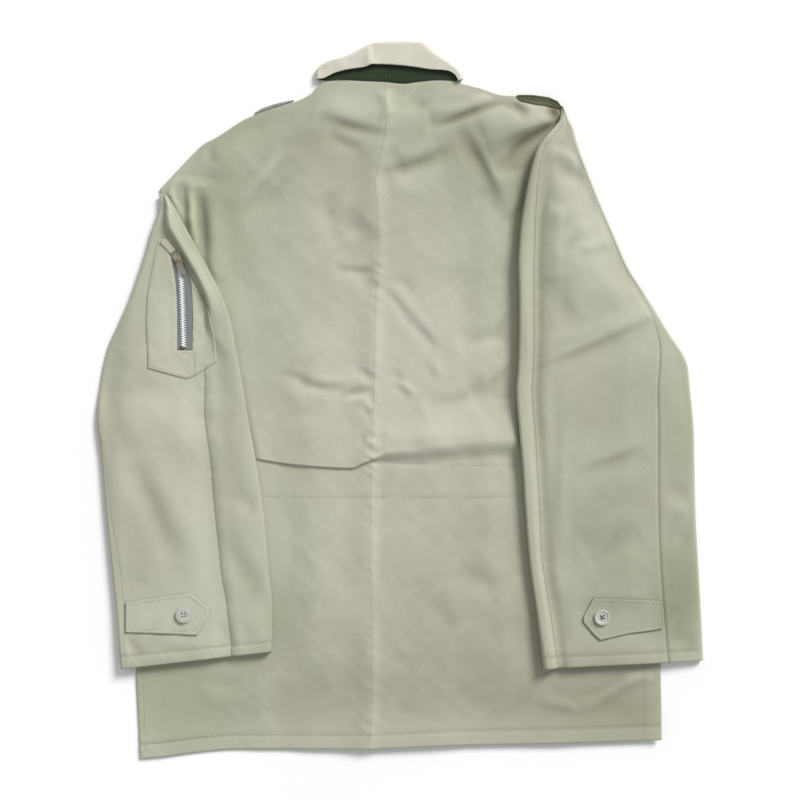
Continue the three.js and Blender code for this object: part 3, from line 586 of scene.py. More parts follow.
LEFT_CREASES = table(
    CREASE_COLUMNS,
    (-338, 20, -318, -70, 4, 12, 0, -2.2),
    (-322, -44, -246, -226, 6, 13, 0, -3.2),
    (-300, -50, -226, -190, 4, 15, 0, 1.6),
    (-196, -98, -164, -132, 2, 10, 0, -1.6),
    (-206, -150, -158, -240, 2, 14, 0, -2.6),
    (-180, -230, -152, -280, 2, 12, 0, 1.2),
    (-186, -120, -170, -196, 0, 12, 0, 0.8),
    (-236, 128, -214, 70, 3, 8, 0.2, -2.2),
    (-224, 88, -214, 40, 0, 8, 0, -0.8),
    (-300, 60, -312, 10, 0, 10, 0, 1.2),
    (-316, 20, -250, -8, 6, 14, 0, -1.4),
    (-250, -8, -190, -30, -3, 12, 0, -1.6),
    (-262, -30, -214, -70, 0, 16, 0, 1.4),
    (-286, 120, -296, 60, 0, 9, 0, -1.2),
    (-288, -210, -260, -120, 0, 18, 0, 1.2),
    (-204, -250, -196, -286, 0, 8, 0, -2),
    (-300, -278, -230, -290, 0, 7, 0, -1),
    (-312, -270, -296, -296, 0, 8, 0, -2.6),
)
RIGHT_CREASES = table(
    CREASE_COLUMNS,
    (164, 290, 208, 268, 2, 8, 0, 2.8),
    (176, 264, 214, 252, 0, 8, 0, -1.9),
    (168, 240, 184, 220, 0, 8, 0, -1.2),
    (164, 217, 190, 205, 2, 9, 0, 1.6),
    (174, 142, 190, 76, 3, 14, 0.1, -3.6),
    (190, 200, 232, 100, -4, 22, 0, 2.2),
    (184, 166, 212, 190, 3, 6, 0, -1.5),
    (200, 165, 244, 178, -2, 5, 0.3, -1.1),
    (196, 174, 246, 186, -2, 8, 0, 0.8),
    (142, 37, 304, 107, -3, 13, -0.72, 3.2),
    (236, 77, 292, 104, 1, 10, -0.6, 0.9),
    (176, 42, 262, 74, -4, 12, 0, -0.9),
    (196, -74, 278, -44, -4, 12, -0.6, 2.1),
    (200, -86, 282, -56, -3, 12, 0, -1.8),
    (236, 120, 268, 60, 4, 14, 0, -1.2),
    (178, 40, 176, -200, 0, 9, 0, -1.6),
    (184, -20, 184, -230, 0, 9, 0, 1.2),
    (214, -184, 276, -150, 3, 14, 0, -2.2),
    (210, -160, 262, -120, 3, 14, 0, 1.4),
    (300, -98, 336, -112, 2, 9, 0, -1.2),
    (300, -122, 336, -130, 2, 9, 0, 1.6),
    (302, -146, 338, -166, 2, 12, 0, -1.3),
    (178, -214, 190, -292, 2, 9, 0, -1.6),
    (312, -60, 320, -140, 0, 10, 0, -1),
    (306, -262, 338, -286, 0, 12, 0, -1.6),
    (230, 250, 214, 200, 0, 9, 0, -1.4),
)
COLLAR_CREASES = table(
    CREASE_COLUMNS,
    (-35, 412, -37, 380, 1, 4, 0.3, 1.3),
    (-30, 408, -31, 384, 0, 4, 0, -0.7),
    (-76, 384, -60, 386, 0, 6, 0, 0.8),
    (20, 404, 52, 384, 0, 9, 0, 0.7),
    (-92, 372, -84, 384, 0, 4, 0, -0.8),
)

# Where the cloth is faded, and where light and shade are painted on it: the middle of each patch, how far it
# reaches both ways, how green and how light it is. The green is the dye's own fading; the lightness is partly
# fading and partly painted light and shade, such as the painted shade darkening the top and the foot of the
# back and the painted shadows beside the right sleeve and under the right strap's end. The last rows are
# small corrections beside the sleeves and over the skirt.
FADE_AND_PAINTED_LIGHT = table(
    "x y reachX reachY green light",
    (-200, 190, 60, 120, 0.9, -0.3),
    (-150, 322, 90, 40, 0.5, -0.35),
    (-90, 300, 80, 60, 0, -0.5),
    (20, 335, 60, 35, 0.3, -0.25),
    (110, 280, 70, 60, 0.3, -0.8),
    (96, 190, 60, 90, 0.2, -0.05),
    (-60, 200, 60, 60, -0.5, -0.2),
    (-10, 60, 110, 90, -0.7, 0.3),
    (-40, -30, 120, 40, -0.5, 0.2),
    (100, 90, 50, 80, 0.4, -0.15),
    (74, -175, 80, 80, -0.1, -0.6),
    (-100, -150, 90, 60, 0.1, 0.2),
    (-240, -350, 90, 50, 1.2, -0.55),
    # painted shade on the body beside the left sleeve's cuff
    (-135, -245, 22, 40, 0.5, -0.5),
    (-278, -246, 34, 22, 0, 0.4),
    (-266, 84, 24, 60, 0, 0.35),
    (-110, -330, 90, 50, 0, -0.5),
    (40, -330, 90, 60, -0.2, -0.65),
    (130, -345, 60, 50, 0, -0.4),
    (230, -345, 80, 50, 0.1, -1.1),
    # painted shadow under the right shoulder strap's end
    (177, 331, 8, 10, 0, -2.4),
    (-256, 40, 50, 90, -0.3, 0.3),
    (-310, 60, 26, 62, 0, -0.5),
    (-290, -160, 40, 80, 0.0, -0.4),
    (-225, -130, 40, 80, 0.0, 0.3),
    (-200, -40, 24, 70, 0.2, -0.5),
    (-198, -140, 18, 70, 0, -0.5),
    (-178, -210, 26, 50, 0.4, -0.25),
    (225, 200, 40, 60, 0.1, 0.35),
    (207, -10, 50, 60, 0.1, -0.25),
    (264, -10, 40, 70, 0.1, -0.45),
    (240, -142, 60, 70, 0.2, -0.75),
    (250, -240, 80, 50, 0.1, -0.5),
    (322, -30, 26, 70, 0.5, -0.5),
    (322, -210, 26, 90, 0.5, -0.9),
    (148, 60, 14, 160, 0, -0.4),
    # painted shadow of the right sleeve on the body
    (132, -253, 36, 44, 0, -0.5),
    (-205, 241, 24, 60, 0.4, -0.45),
    (138, 241, 22, 62, 0.1, -0.5),
    (52, 287, 36, 26, 0, -0.3),
    (121, -12, 36, 42, 0, -0.3),
    (-161, 118, 42, 44, 0, 0.38),
    (-66, 340, 64, 22, 0, 0.3),
    (172, 102, 16, 46, 0, -0.4),
    (52, -150, 60, 40, 0, 0.22),
    (0, -262, 110, 32, 0, -0.25),
    (-262, -312, 50, 22, 0.3, -0.25),
    (310, -250, 26, 40, 0, -0.25),
    (276, -364, 30, 24, 0, -0.3),
    (-336, -56, 14, 60, 0, -0.45),
    (-250, -230, 60, 60, 0.3, 0),
    (5, -40, 110, 130, -0.5, 0),
    (10, -140, 90, 90, -0.5, 0),
    (0, 180, 90, 90, -0.25, 0),
    (-230, 241, 40, 40, 0.6, 0),
    (0, -380, 110, 50, -0.4, 0),
    (250, -70, 60, 70, -0.3, 0),
    (-172, 90, 30, 60, -0.3, 0),
)


# ---- Reading the tables ----


def lerp(start, end, share):
    return start + (end - start) * share


def smoothstep(low, high, value):
    share = np.clip((value - low) / (high - low), 0, 1)
    return share * share * (3 - 2 * share)


def reader(rows, key, name, smooth=True):
    """One column of a table as a function of its key column. It never overshoots the rows."""
    order = np.argsort(rows[key])
    keys = rows[key][order]
    values = rows[name][order]
    if not smooth:
        return lambda at: np.interp(at, keys, values)
    secant = np.diff(values) / np.diff(keys)
    slope = np.concatenate([secant[:1], np.zeros(len(keys) - 2), secant[-1:]])
    before, after = secant[:-1], secant[1:]
    same = before * after > 0
    slope[1:-1][same] = (2 * before * after)[same] / (before + after)[same]

    def read(at):
        at = np.asarray(at, float)
        row = np.clip(np.searchsorted(keys, at, side="right") - 1, 0, len(keys) - 2)
        span = keys[row + 1] - keys[row]
        share = np.clip((at - keys[row]) / span, 0, 1)
        bend = share * (1 - share) * span * (slope[row] * (1 - share) - slope[row + 1] * share)
        return lerp(values[row], values[row + 1], share * share * (3 - 2 * share)) + bend

    return read


def graded(start, stop, coarse, spots=()):
    """Levels from start to stop, closer together near each spot: its place, its reach and its own step."""
    levels = [start]
    while levels[-1] < stop - coarse / 2:
        step = coarse
        for place, reach, fine in spots:
            near = min(abs(levels[-1] - place) / reach, 1)
            step = min(step, lerp(fine, coarse, near))
        levels.append(levels[-1] + step)
    levels[-1] = stop
    return np.array(levels)


body_left = reader(BODY, "y", "left")
body_right = reader(BODY, "y", "right")
centre_back = reader(BODY, "y", "centre")
hem_line = reader(HEM, "x", "y")
back_top = reader(TOP, "x", "back")
front_top = reader(TOP, "x", "front")
waist_line = reader(WAIST, "x", "y")
waist_step = reader(WAIST, "x", "step")
waist_soft = reader(WAIST, "x", "soft")
left_sleeve_edge = reader(SLEEVE_LEFT, "y", "inner")
right_sleeve_edge = reader(SLEEVE_RIGHT, "y", "inner")
tape_left = reader(ZIP, "y", "left")
tape_right = reader(ZIP, "y", "right")
teeth_line = reader(ZIP, "y", "teeth")


# ---- Folds and puckers ----


def swell(x, y, reach, seed, waves=11):
    """Smooth, uneven ups and downs between about -1 and 1, roughly this far apart."""
    draw = random.Random(seed)
    total = 0
    for _ in range(waves):
        heading = draw.uniform(0, math.tau)
        turn = math.tau / (reach * draw.uniform(0.65, 1.7))
        shift = draw.uniform(0, math.tau)
        total = total + np.sin(turn * (x * math.cos(heading) + y * math.sin(heading)) + shift)
    return total / math.sqrt(waves)


def bell(away, reach):
    """1 on a line, dying out over this reach on both sides of it."""
    return np.exp(-((away / reach) ** 2))


def creased(rows, x, y):
    """Height that a table's creases add: soft ridges and troughs along bowed lines, gone at both ends."""
    total = np.zeros(np.shape(x))
    for x0, y0, x1, y1, bow, width, lean, rise in zip(*rows.values()):
        run_x, run_y = x1 - x0, y1 - y0
        long = math.hypot(run_x, run_y)
        along = ((x - x0) * run_x + (y - y0) * run_y) / long**2
        inside = np.clip(along, 0, 1)
        side = ((y - y0) * run_x - (x - x0) * run_y) / long - 4 * bow * inside * (1 - inside)
        past = (along - inside) * long
        spread = 1 + 0.7 * (2 * inside - 1) ** 2
        breadth = np.where(side > 0, width * (1 - lean), width * (1 + lean)) * spread
        fade = (4 * inside * (1 - inside)) ** 0.85
        total += rise * fade * np.exp(-((side / breadth) ** 2) - (past / width) ** 2)
    return total


def rumple(x, y, seed):
    """The cloth's own unevenness: broad swells, shallow dents and fine crumpling."""
    broad = 0.5 * swell(x, y, 95, seed)
    dents = -0.34 * np.abs(swell(x, y, 58, seed + 1))
    fine = 0.09 * swell(x, y, 17, seed + 2)
    return broad + dents + fine


def pucker(away, along, seed, reach=6, pitch=10, depth=0.3):
    """Ripples that a line of stitches draws up in the cloth on both sides of it."""
    uneven = 0.6 + 0.4 * swell(along, 0 * along, 70, seed)
    wave = np.sin(math.tau * along / pitch + 2.2 * swell(along, 0 * along, 45, seed + 1))
    return depth * uneven * wave * bell(away, reach)


def stitch_shade(away):
    """How much shade is painted along a row of stitches."""
    return bell(away, 1.3)


def stitched_groove(away, depth=0.35, breadth=1.5):
    return -depth * bell(away, breadth)


def turned_edge(inside, along, depth, seed):
    """A hem: the band between the fold and its stitches is thicker, and ropes a little along its length."""
    band = 0.45 * (1 - smoothstep(depth - 1.5, depth + 2.5, inside))
    slant = np.sin(math.tau * (along + 0.9 * inside) / 11 + 2 * swell(along, 0 * along, 60, seed))
    roping = 0.08 * slant * smoothstep(0, 5, inside) * (1 - smoothstep(depth, depth + 6, inside))
    rolled = -0.35 * np.exp(-inside / 1.4)
    return band + roping + rolled + stitched_groove(inside - depth, 0.6)


def seam_dip(away, depth=0.3):
    """Cloth turns down into a seam."""
    return -depth * np.exp(-np.abs(away) / 1.2)


def centre_ridge(across, y):
    """The centre seam stands up in a ridge, broad on its left, and puckers as it runs down the back."""
    broad = np.where(across < 0, 17, 9)
    ridge = (2.6 + 0.9 * swell(y, 0 * y, 110, 23)) * bell(across, broad)
    drawn = pucker(across, y + 0.5 * across, 21, reach=9, pitch=15, depth=0.42)
    return ridge + drawn * smoothstep(260, 150, y)


def waist_lift(x, y):
    """The cloth folded over at the waist: a step along its line, dying out above it."""
    above = y - waist_line(x)
    soft = waist_soft(x) / 2
    reach = lerp(WAIST_REACH, WAIST_REACH_RIGHT, smoothstep(-40, 20, x))
    return waist_step(x) * smoothstep(-soft, soft, above) * np.exp(-np.maximum(above, 0) / reach)


def back_top_height(x, y):
    """Height of the back's upper face."""
    below = back_top(x) - y
    above_hem = y - hem_line(x)
    from_left = x - left_sleeve_edge(y)
    from_right = right_sleeve_edge(y) - x
    seam = x - centre_back(y)
    side_seam = x - SIDE_STITCH
    # the rise over the collar, and the fullness between the sleeves
    crown = CROWN * (1 - smoothstep(*CROWN_SPAN, np.abs(x - CENTRE_FRONT))) * smoothstep(*CROWN_FADE, below)
    beside = smoothstep(*LOFT_LEFT, from_left) * smoothstep(*LOFT_RIGHT, from_right)
    loft = LOFT * beside * smoothstep(*LOFT_HEAD, below) * smoothstep(*LOFT_FOOT, above_hem)
    # nothing rises under the sleeves
    clear = smoothstep(-4, 7, from_left) * smoothstep(-6, 5, from_right)
    open_back = np.maximum(clear, smoothstep(SLEEVE_CLEAR, SLEEVE_CLEAR - 12, y))
    folds = open_back * smoothstep(1, 12, below) * (creased(BACK_CREASES, x, y) + rumple(x, y, 11))
    crossed = loft + open_back * smoothstep(1, 12, below) * waist_lift(x, y)
    height = BACK_MIDDLE + HALF + crown + np.maximum(crossed + folds, 0.15 * (crossed + folds))
    # seams, stitched rows and the hem
    height += open_back * smoothstep(1, 14, below) * centre_ridge(seam, y) + seam_dip(seam, 0.05)
    casing_top = np.where(x > CASING_START, np.abs(y - CASING[0]), 99)
    for away, seed in ((casing_top, 31), (np.abs(y - CASING[1]), 33)):
        height += open_back * (stitched_groove(away) + pucker(away, x, seed, depth=0.22))
    height += turned_edge(above_hem, x, HEM_DEPTH, 41)
    height += HEM_STAND * smoothstep(-190, 40, x) * bell(above_hem, 34)
    doubled = stitched_groove(side_seam, 0.3) + 0.2 * smoothstep(-2, 2, side_seam)
    height += np.where(y < -100, doubled, 0)
    height += seam_dip(x - body_left(y)) + seam_dip(body_right(y) - x) + seam_dip(below)
    return height


# ---- Cloth walls ----


def rim_of(rows, columns):
    """The grid's rim in order, and for each of its points the next one inside it."""
    grid = np.arange(rows * columns).reshape(rows, columns)
    inside = grid[np.clip(np.arange(rows), 1, rows - 2)][:, np.clip(np.arange(columns), 1, columns - 2)]
    return in_order(grid), in_order(inside)


def in_order(grid):
    """A grid's outermost entries: along its foot, up its right side, back along its head, down its left."""
    return np.concatenate([grid[0, :-1], grid[:-1, -1], grid[-1, :0:-1], grid[:0:-1, 0]])


def borders(rows, columns):
    """The points along each side of a grid."""
    grid = np.arange(rows * columns).reshape(rows, columns)
    return {"foot": grid[0], "right": grid[:, -1], "head": grid[-1], "left": grid[:, 0]}


def rim_sizes(rows, columns, rim, seamed):
    """How far each rim point is rounded over: as given, or hardly at all along the seamed sides."""
    sides = {"foot": columns - 1, "right": rows - 1, "head": columns - 1, "left": rows - 1}
    sizes = [np.full(count, SEAM_RIM if side in seamed else rim) for side, count in sides.items()]
    return np.concatenate(sizes)[:, None]


def wall(upper, lower, flat, rim, seamed):
    """Points, faces and cut places of a closed wall between two grids, its rim rounded over by this much."""
    rows, columns = upper.shape[:2]
    top = upper.reshape(-1, 3).copy()
    base = lower.reshape(-1, 3).copy()
    place = flat.reshape(-1, 2)
    ring, inside = rim_of(rows, columns)
    middle = (top + base) / 2
    inward = middle[inside] - middle[ring]
    long = np.maximum(np.linalg.norm(inward, axis=1, keepdims=True), 1e-6)
    inward = inward / long * np.minimum(rim_sizes(rows, columns, rim, seamed), 0.4 * long)
    edge = middle[ring]
    top[ring] += inward
    base[ring] += inward
    count = rows * columns
    a = (np.arange(rows - 1)[:, None] * columns + np.arange(columns - 1)).ravel()
    over = np.stack([a, a + 1, a + columns + 1, a + columns], 1)
    under = count + over[:, ::-1]
    band = 2 * count + np.arange(len(ring))
    ring_next, band_next = np.roll(ring, -1), np.roll(band, -1)
    skirt = np.stack([ring_next, ring, band, band_next], 1)
    sole = np.stack([band_next, band, count + ring, count + ring_next], 1)
    points = np.concatenate([top, base, edge])
    faces = np.concatenate([over, under, skirt, sole])
    places = np.concatenate([place, place, place[ring]])
    if signed_volume(points, faces) < 0:
        faces = faces[:, ::-1]
    return points, faces, places


def signed_volume(points, faces):
    """Six times a closed wall's volume, below zero where its faces point inwards."""
    a, b, c, d = (points[faces[:, i]] for i in range(4))
    return float((a * np.cross(b, c)).sum() + (a * np.cross(c, d)).sum())


def around(values):
    """The sum of each grid point's four neighbours."""
    padded = np.pad(values, 1, mode="edge")
    return padded[:-2, 1:-1] + padded[2:, 1:-1] + padded[1:-1, :-2] + padded[1:-1, 2:]


def hollows(upper):
    """How hollow, above zero, or raised the upper face is at each of its points. It is painted into the cloth
    as shade in the hollows and as a paler tone on the raised places.
    """
    height = upper[..., 2]
    painted_shade = around(height) / 4 - height
    for _ in range(3):
        painted_shade = (around(painted_shade) + 2 * painted_shade) / 6
    return np.clip(painted_shade * 4, -0.2, 1)


def fade_and_painted_light(x, y):
    """How green and how light the cloth is at each place, from its fading and from the light and shade
    painted on it.
    """
    green = np.full(np.shape(x), DYE_KEPT)
    light = np.zeros(np.shape(x))
    for cx, cy, rx, ry, g, l in zip(*FADE_AND_PAINTED_LIGHT.values()):
        near = np.exp(-(((x - cx) / rx) ** 2) - ((y - cy) / ry) ** 2)
        green += g * near
        light += l * near
    return green, light


def mesh_object(name, points, faces, places):
    """A mesh object at the origin from points in millimetres, with its cut places as its UV map."""
    mesh = bpy.data.meshes.new(name)
    mesh.from_pydata((points * MM).tolist(), [], faces.tolist())
    mesh.update()
    piece = bpy.data.objects.new(name, mesh)
    bpy.context.scene.collection.objects.link(piece)
    layer = mesh.uv_layers.new(name="cut")
    corners = np.empty(len(mesh.loops), np.int32)
    mesh.loops.foreach_get("vertex_index", corners)
    layer.data.foreach_set("uv", (places[corners] * MM).astype(np.float32).ravel())
    mesh.polygons.foreach_set("use_smooth", np.ones(len(mesh.polygons), bool))
    return piece


def dress(piece, material, slot, node=None):
    """Gives a finished piece its material and body, and hides the frame's node that it stands for. The slot
    is not used.
    """
    piece.data.materials.clear()
    piece.data.materials.append(material)
    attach(piece, COAT)
    if node:
        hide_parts(node)
    return piece


def write_floats(piece, name, values):
    attribute = piece.data.attributes.new(name, "FLOAT", "POINT")
    attribute.data.foreach_set("value", values.astype(np.float32))


def sharpen_seams(piece, rows, columns, seamed):
    """Keeps the upper face's shading level right up to a seam, where the next piece carries it on."""
    marked = np.zeros(len(piece.data.vertices), bool)
    for side in seamed:
        marked[borders(rows, columns)[side]] = True
    ends = np.empty(2 * len(piece.data.edges), np.int32)
    piece.data.edges.foreach_get("vertices", ends)
    sharp = piece.data.attributes.new("sharp_edge", "BOOLEAN", "EDGE")
    sharp.data.foreach_set("value", marked[ends.reshape(-1, 2)].all(1))


def shade_sides(painted_shade, rows, columns, shades):
    """Paints shade right along these sides, into seams and under turned edges."""
    for side, depth in shades.items():
        painted_shade[borders(rows, columns)[side]] = depth
    painted_shade[2 * rows * columns :] = painted_shade[rim_of(rows, columns)[0]]


def cloth(name, node, layers, material, slot, cut, rests_on=(), rim=RIM, seamed=(), shades=None, line_shade=0):
    """A cloth piece between two grids, with its fading and the light and shade painted into it.

    The layers are the upper grid, the lower grid and each point's place on the cloth as it was cut.
    """
    upper, lower, flat = layers
    rows, columns = upper.shape[:2]
    points, faces, places = wall(upper, lower, flat, rim, seamed)
    piece = mesh_object(name, points, faces, places)
    if seamed:
        sharpen_seams(piece, rows, columns, seamed)
    green, light = fade_and_painted_light(points[:, 0], points[:, 1])
    painted_shade = np.zeros(len(points))
    # painted shade: darker in the upper face's hollows, paler on its raised places, and darker along stitch
    # lines and the rolled edge
    painted_shade[: rows * columns] = (hollows(upper) + line_shade).ravel()
    if shades:
        shade_sides(painted_shade, rows, columns, shades)
    write_floats(piece, "green", green)
    write_floats(piece, "light", light)
    write_floats(piece, "painted_shade", painted_shade)
    dress(piece, material, slot, node)
    width, length, area = cut
    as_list(rests_on)
    return piece


def stacked(x, y, top, base):
    """The layers of a piece whose faces lie over the same places, which are its cut cloth too."""
    return np.stack([x, y, top], -1), np.stack([x, y, base], -1), np.stack([x, y], -1)


# ---- The body ----


def settle(levels, shares, left, right, warp):
    """Places of a panel's grid: each column leans with the panel's sides, each level bends as warp says."""
    level = levels[:, None] + 0 * shares[None, :]
    y = level
    for _ in range(8):
        x = lerp(left(y), right(y), shares[None, :])
        y = warp(level, x)
    return lerp(left(y), right(y), shares[None, :]), y


def back_warp(level, x):
    """Bends the back's levels along the hem, the waist and the shoulders."""
    near_hem = 1 - smoothstep(0, HEM_REACH, level - HEM_LEVEL)
    near_waist = bell(level - WAIST_LEVEL, WAIST_REACH)
    low = level + near_hem * (hem_line(x) - HEM_LEVEL) + near_waist * (waist_line(x) - WAIST_LEVEL)
    share = (level - SPREAD_LEVEL) / (TOP_LEVEL - SPREAD_LEVEL)
    return np.where(level > SPREAD_LEVEL, lerp(SPREAD_LEVEL, back_top(x), share), low)


def front_warp(level, x):
    """Bends the fronts' levels along the hem, which they stop short of, and the shoulders."""
    near_hem = 1 - smoothstep(0, HEM_REACH, level - HEM_LEVEL)
    low = level + near_hem * (hem_line(x) + FRONT_SHORT - HEM_LEVEL)
    share = (level - SPREAD_LEVEL) / (FRONT_HEAD - SPREAD_LEVEL)
    return np.where(level > SPREAD_LEVEL, lerp(SPREAD_LEVEL, front_top(x), share), low)


def make_back(name, side, sizes, material):
    """One half of the back, up to the centre seam. Side is -1 on the wearer's left and 1 on the right."""

    def seam(y):
        return centre_back(y) + side * SEAM_GAP / 2

    spots = [(HEM_LEVEL, 26, 1.7), (WAIST_LEVEL, 24, 0.7), (TOP_LEVEL, 20, 1.4)]
    levels = graded(HEM_LEVEL, TOP_LEVEL, sizes.grid, spots)
    across = graded(0, BACK_BREADTH, sizes.grid, [(BACK_BREADTH, 30, 1.2), (0, 8, 1.6)]) / BACK_BREADTH
    if side < 0:
        x, y = settle(levels, across, body_left, seam, back_warp)
    else:
        x, y = settle(levels, 1 - across[::-1], seam, body_right, back_warp)
    height = back_top_height(x, y)
    layers = stacked(x, y, height, np.maximum(height - CLOTH, BACK_MIDDLE - HALF))
    rests = ["cloth_front_left", "cloth_front_right"]
    seamed = ["right" if side < 0 else "left"]
    # painted shade along the stitches of the hem and the waist casing
    line_shade = HEM_STITCH_SHADE * stitch_shade(y - hem_line(x) - HEM_DEPTH) + WAIST_STITCH_SHADE * stitch_shade(y - CASING[1])
    cloth(
        f"cloth_{name}", name, layers, material, "twill", CUTS[name], rests, seamed=seamed, line_shade=line_shade
    )


def make_front(name, left, right, middle, material):
    """One front: flat on the table, finished plainly, because the whole parka lies on it."""
    levels = graded(HEM_LEVEL, FRONT_HEAD, FRONT_GRID)
    x, y = settle(levels, np.linspace(0, 1, FRONT_COLUMNS), left, right, front_warp)
    height = middle(x)
    cloth(f"cloth_{name}", name, stacked(x, y, height + HALF, height - HALF), material, "twill", CUTS[name])


def left_front_edge(y):
    return CENTRE_FRONT + LAP + 0 * y


def right_front_edge(y):
    return CENTRE_FRONT - LAP + 0 * y


def flat_front(x):
    return FRONT_MIDDLE + 0 * x


def lapped_front(x):
    """Height of the right front's middle: it lies on the left front at the lap and comes down beyond it."""
    return FRONT_MIDDLE + LAYER * (1 - smoothstep(*LAP_RAMP, x))


# ---- The sleeves ----


class Sleeve:
    """A sleeve's form: a flattened tube whose inner edge rolls over softly.

    A level is a place along the sleeve, and an inset is how far a point lies in from its outer edge.
    """

    def __init__(
        self, rows, edge, inward, overhang, crown, creases, seed, flat_spots, valley, cuff, shades, inner_dip,
        zipped=None,
    ):
        self.read = {name: reader(rows, "y", name) for name in rows if name != "y"}
        self.foot = float(rows["y"].min())
        self.head = float(rows["y"].max())
        self.edge = edge
        self.inward = inward
        self.overhang = reader(overhang, "y", "lift")
        self.crown = reader(crown, "y", "rise")
        self.crown_reach = reader(crown, "y", "reach")
        self.creases = creases
        self.seed = seed
        self.flat_spots = flat_spots
        self.valley = valley
        self.cuff = cuff
        self.shades = shades
        self.inner_dip = inner_dip
        self.zipped = zipped

    def sizes(self, level):
        """Every measure of the tube at these levels."""
        got = {name: read(level) for name, read in self.read.items()}
        got["level"] = level
        got["width"] = np.abs(got["inner"] - got["outer"])
        open_cuff = 1 - smoothstep(0, CUFF_REACH, level - self.foot)
        got["lift"] = SLEEVE_LIFT + self.loft(level) + self.cuff[0] * open_cuff
        got["roll"] = got["roll"] + 0.6 * smoothstep(4, 30, self.head - level) + self.cuff[1] * open_cuff
        got["outerBend"] = HALF + got["lift"]
        got["innerBend"] = got["width"] - HALF - got["roll"]
        return got

    def loft(self, level):
        """How much fuller the sleeve is than the flat solid. It stays flat round the zip."""
        full = SLEEVE_LOFT * smoothstep(0, 60, self.head - level)
        if not self.zipped:
            return full
        low, high = self.zipped
        return full * np.maximum(smoothstep(low, low - 50, level), smoothstep(high, high + 40, level))

    def rest(self, level, inset, got):
        """Height of the under layer's middle, which droops to the table past the body's edge."""
        past = (self.edge(level) - got["outer"]) * self.inward - inset
        foot, crest = self.ridge_span(got)
        stand = self.overhang(level) * smoothstep(foot, crest, inset)
        stand = stand * (1 - self.tipped(level) * smoothstep(crest - 1.5, got["innerBend"] + 1, inset))
        return SLEEVE_MIDDLE - BODY_TOP * smoothstep(*DROOP, past) + stand

    def above(self, level, inset, got):
        """Height of the upper layer's middle, before its relief."""
        return self.rest(level, inset, got) + 2 * self.radius(inset, got)

    def ridge_span(self, got):
        """Where the rolled edge starts to rise off the body, and where it stands at its full height."""
        foot, crest = self.ridge_foot(got), got["innerBend"] - 1
        if not self.zipped:
            return foot, crest
        seam = got["width"] - got["innerSeam"]
        high = smoothstep(*TIPPED_LEVELS, got["level"])
        return lerp(foot, seam - 2, high), lerp(crest, seam + 4.5, high)

    def ridge_foot(self, got):
        return got["width"] - np.minimum(ROLL_WIDTH, 0.7 * got["width"])

    def tipped(self, level):
        """How far the rolled strip beside the zip tips down towards its edge, from 0 to 1."""
        return TIPPED * smoothstep(*TIPPED_LEVELS, level) if self.zipped else 0 * level

    def radius(self, inset, got):
        """Half the height between the two layers."""
        return lerp(got["lift"], got["roll"], smoothstep(self.ridge_foot(got), got["innerBend"], inset))

    def place(self, level, inset, got):
        """Where a point of the flattened tube lies, seen from above."""
        x = got["outer"] + self.inward * inset
        y = level + got["tilt"] * (inset / got["width"] - 0.5)
        return x, y

    def relief(self, level, inset, got):
        """What creases, seams and the turned cuff add to the upper layer."""
        x, y = self.place(level, inset, got)
        inner = got["innerBend"] - inset
        outer_away = inset - got["outerSeam"]
        inner_away = got["width"] - got["innerSeam"] - inset
        open_cloth = smoothstep(0, 10, inset - got["outerBend"]) * smoothstep(-1, 9, inner)
        for cx, cy, rx, ry in self.flat_spots:
            open_cloth = open_cloth * (1 - 0.92 * np.exp(-(((x - cx) / rx) ** 4) - ((y - cy) / ry) ** 4))
        open_cloth = open_cloth * smoothstep(4, 40, self.head - level)
        folds = creased(self.creases, x, y) + 0.75 * rumple(x, y, self.seed) + 0.25
        folds = folds - self.sunk(inner_away, level)
        filled = smoothstep(0, 40, outer_away) * smoothstep(-1, self.crown_reach(level), inner_away)
        folds = folds + self.crown(level) * filled
        seams = seam_dip(outer_away, 1.1) * smoothstep(4, 24, got["outerSeam"])
        seams = seams + seam_dip(inner_away, self.inner_dip)
        seams = seams + pucker(inner_away, level, self.seed + 5, reach=5, pitch=13, depth=0.22)
        cuff = turned_edge(level - self.foot, inset, CUFF_DEPTH, self.seed + 7)
        relief = open_cloth * folds + seams * smoothstep(-3, 3, inner) + cuff
        return np.maximum(relief, 0.5 - 2 * self.radius(inset, got))

    def sunk(self, away, level):
        """The shallow valley that the inner seam lies in: broad on its outer side, steep towards the edge."""
        depth, broad, steep, fade_from, fade_to = self.valley
        return depth * smoothstep(fade_from, fade_to, level) * bell(away, np.where(away > 0, broad, steep))

    def seam_shades(self, part):
        """How dark the shade painted along each side of a piece is where it meets its neighbour."""
        outer_seam, inner_seam = self.shades
        if part == "outer":
            return {"left": outer_seam, "right": inner_seam}
        return {"left": inner_seam, "right": outer_seam / 2}

    def top(self, x, y):
        """Height of the sleeve's upper face at a place."""
        x, y = np.asarray(x, float), np.asarray(y, float)
        level = y
        for _ in range(4):
            got = self.sizes(level)
            inset = (x - got["outer"]) * self.inward
            level = y - got["tilt"] * (inset / got["width"] - 0.5)
        got = self.sizes(level)
        return self.above(level, inset, got) + HALF + self.relief(level, inset, got)

    def section(self, level, part, step):
        """Insets, heights and outward directions of the middle line of one piece, over a column of levels."""
        got = self.sizes(level)
        widest = float(got["width"].max())
        inner_seam = got["width"] - got["innerSeam"]
        outer_bend = got["outerBend"] + 0 * level
        seam = SEAM_GAP / 2
        quarter = math.pi / 2

        def shares(reach):
            return np.linspace(0, 1, max(int(reach / step), 2) + 1)[None, :]

        def over(inset):
            return inset, self.above(level, inset, got), 0 * inset, 1

        def under(inset):
            return inset, self.rest(level, inset, got), 0 * inset, -1

        def bend(centre, lift, side, count):
            angle = side * lerp(quarter, -quarter, np.linspace(0, 1, count)[None, 1:-1])
            out, up = side * np.cos(angle), np.sin(angle)
            centre = centre + 0 * angle
            return centre + lift * out, self.rest(level, centre, got) + lift * (1 + up), out + 0 * centre, up

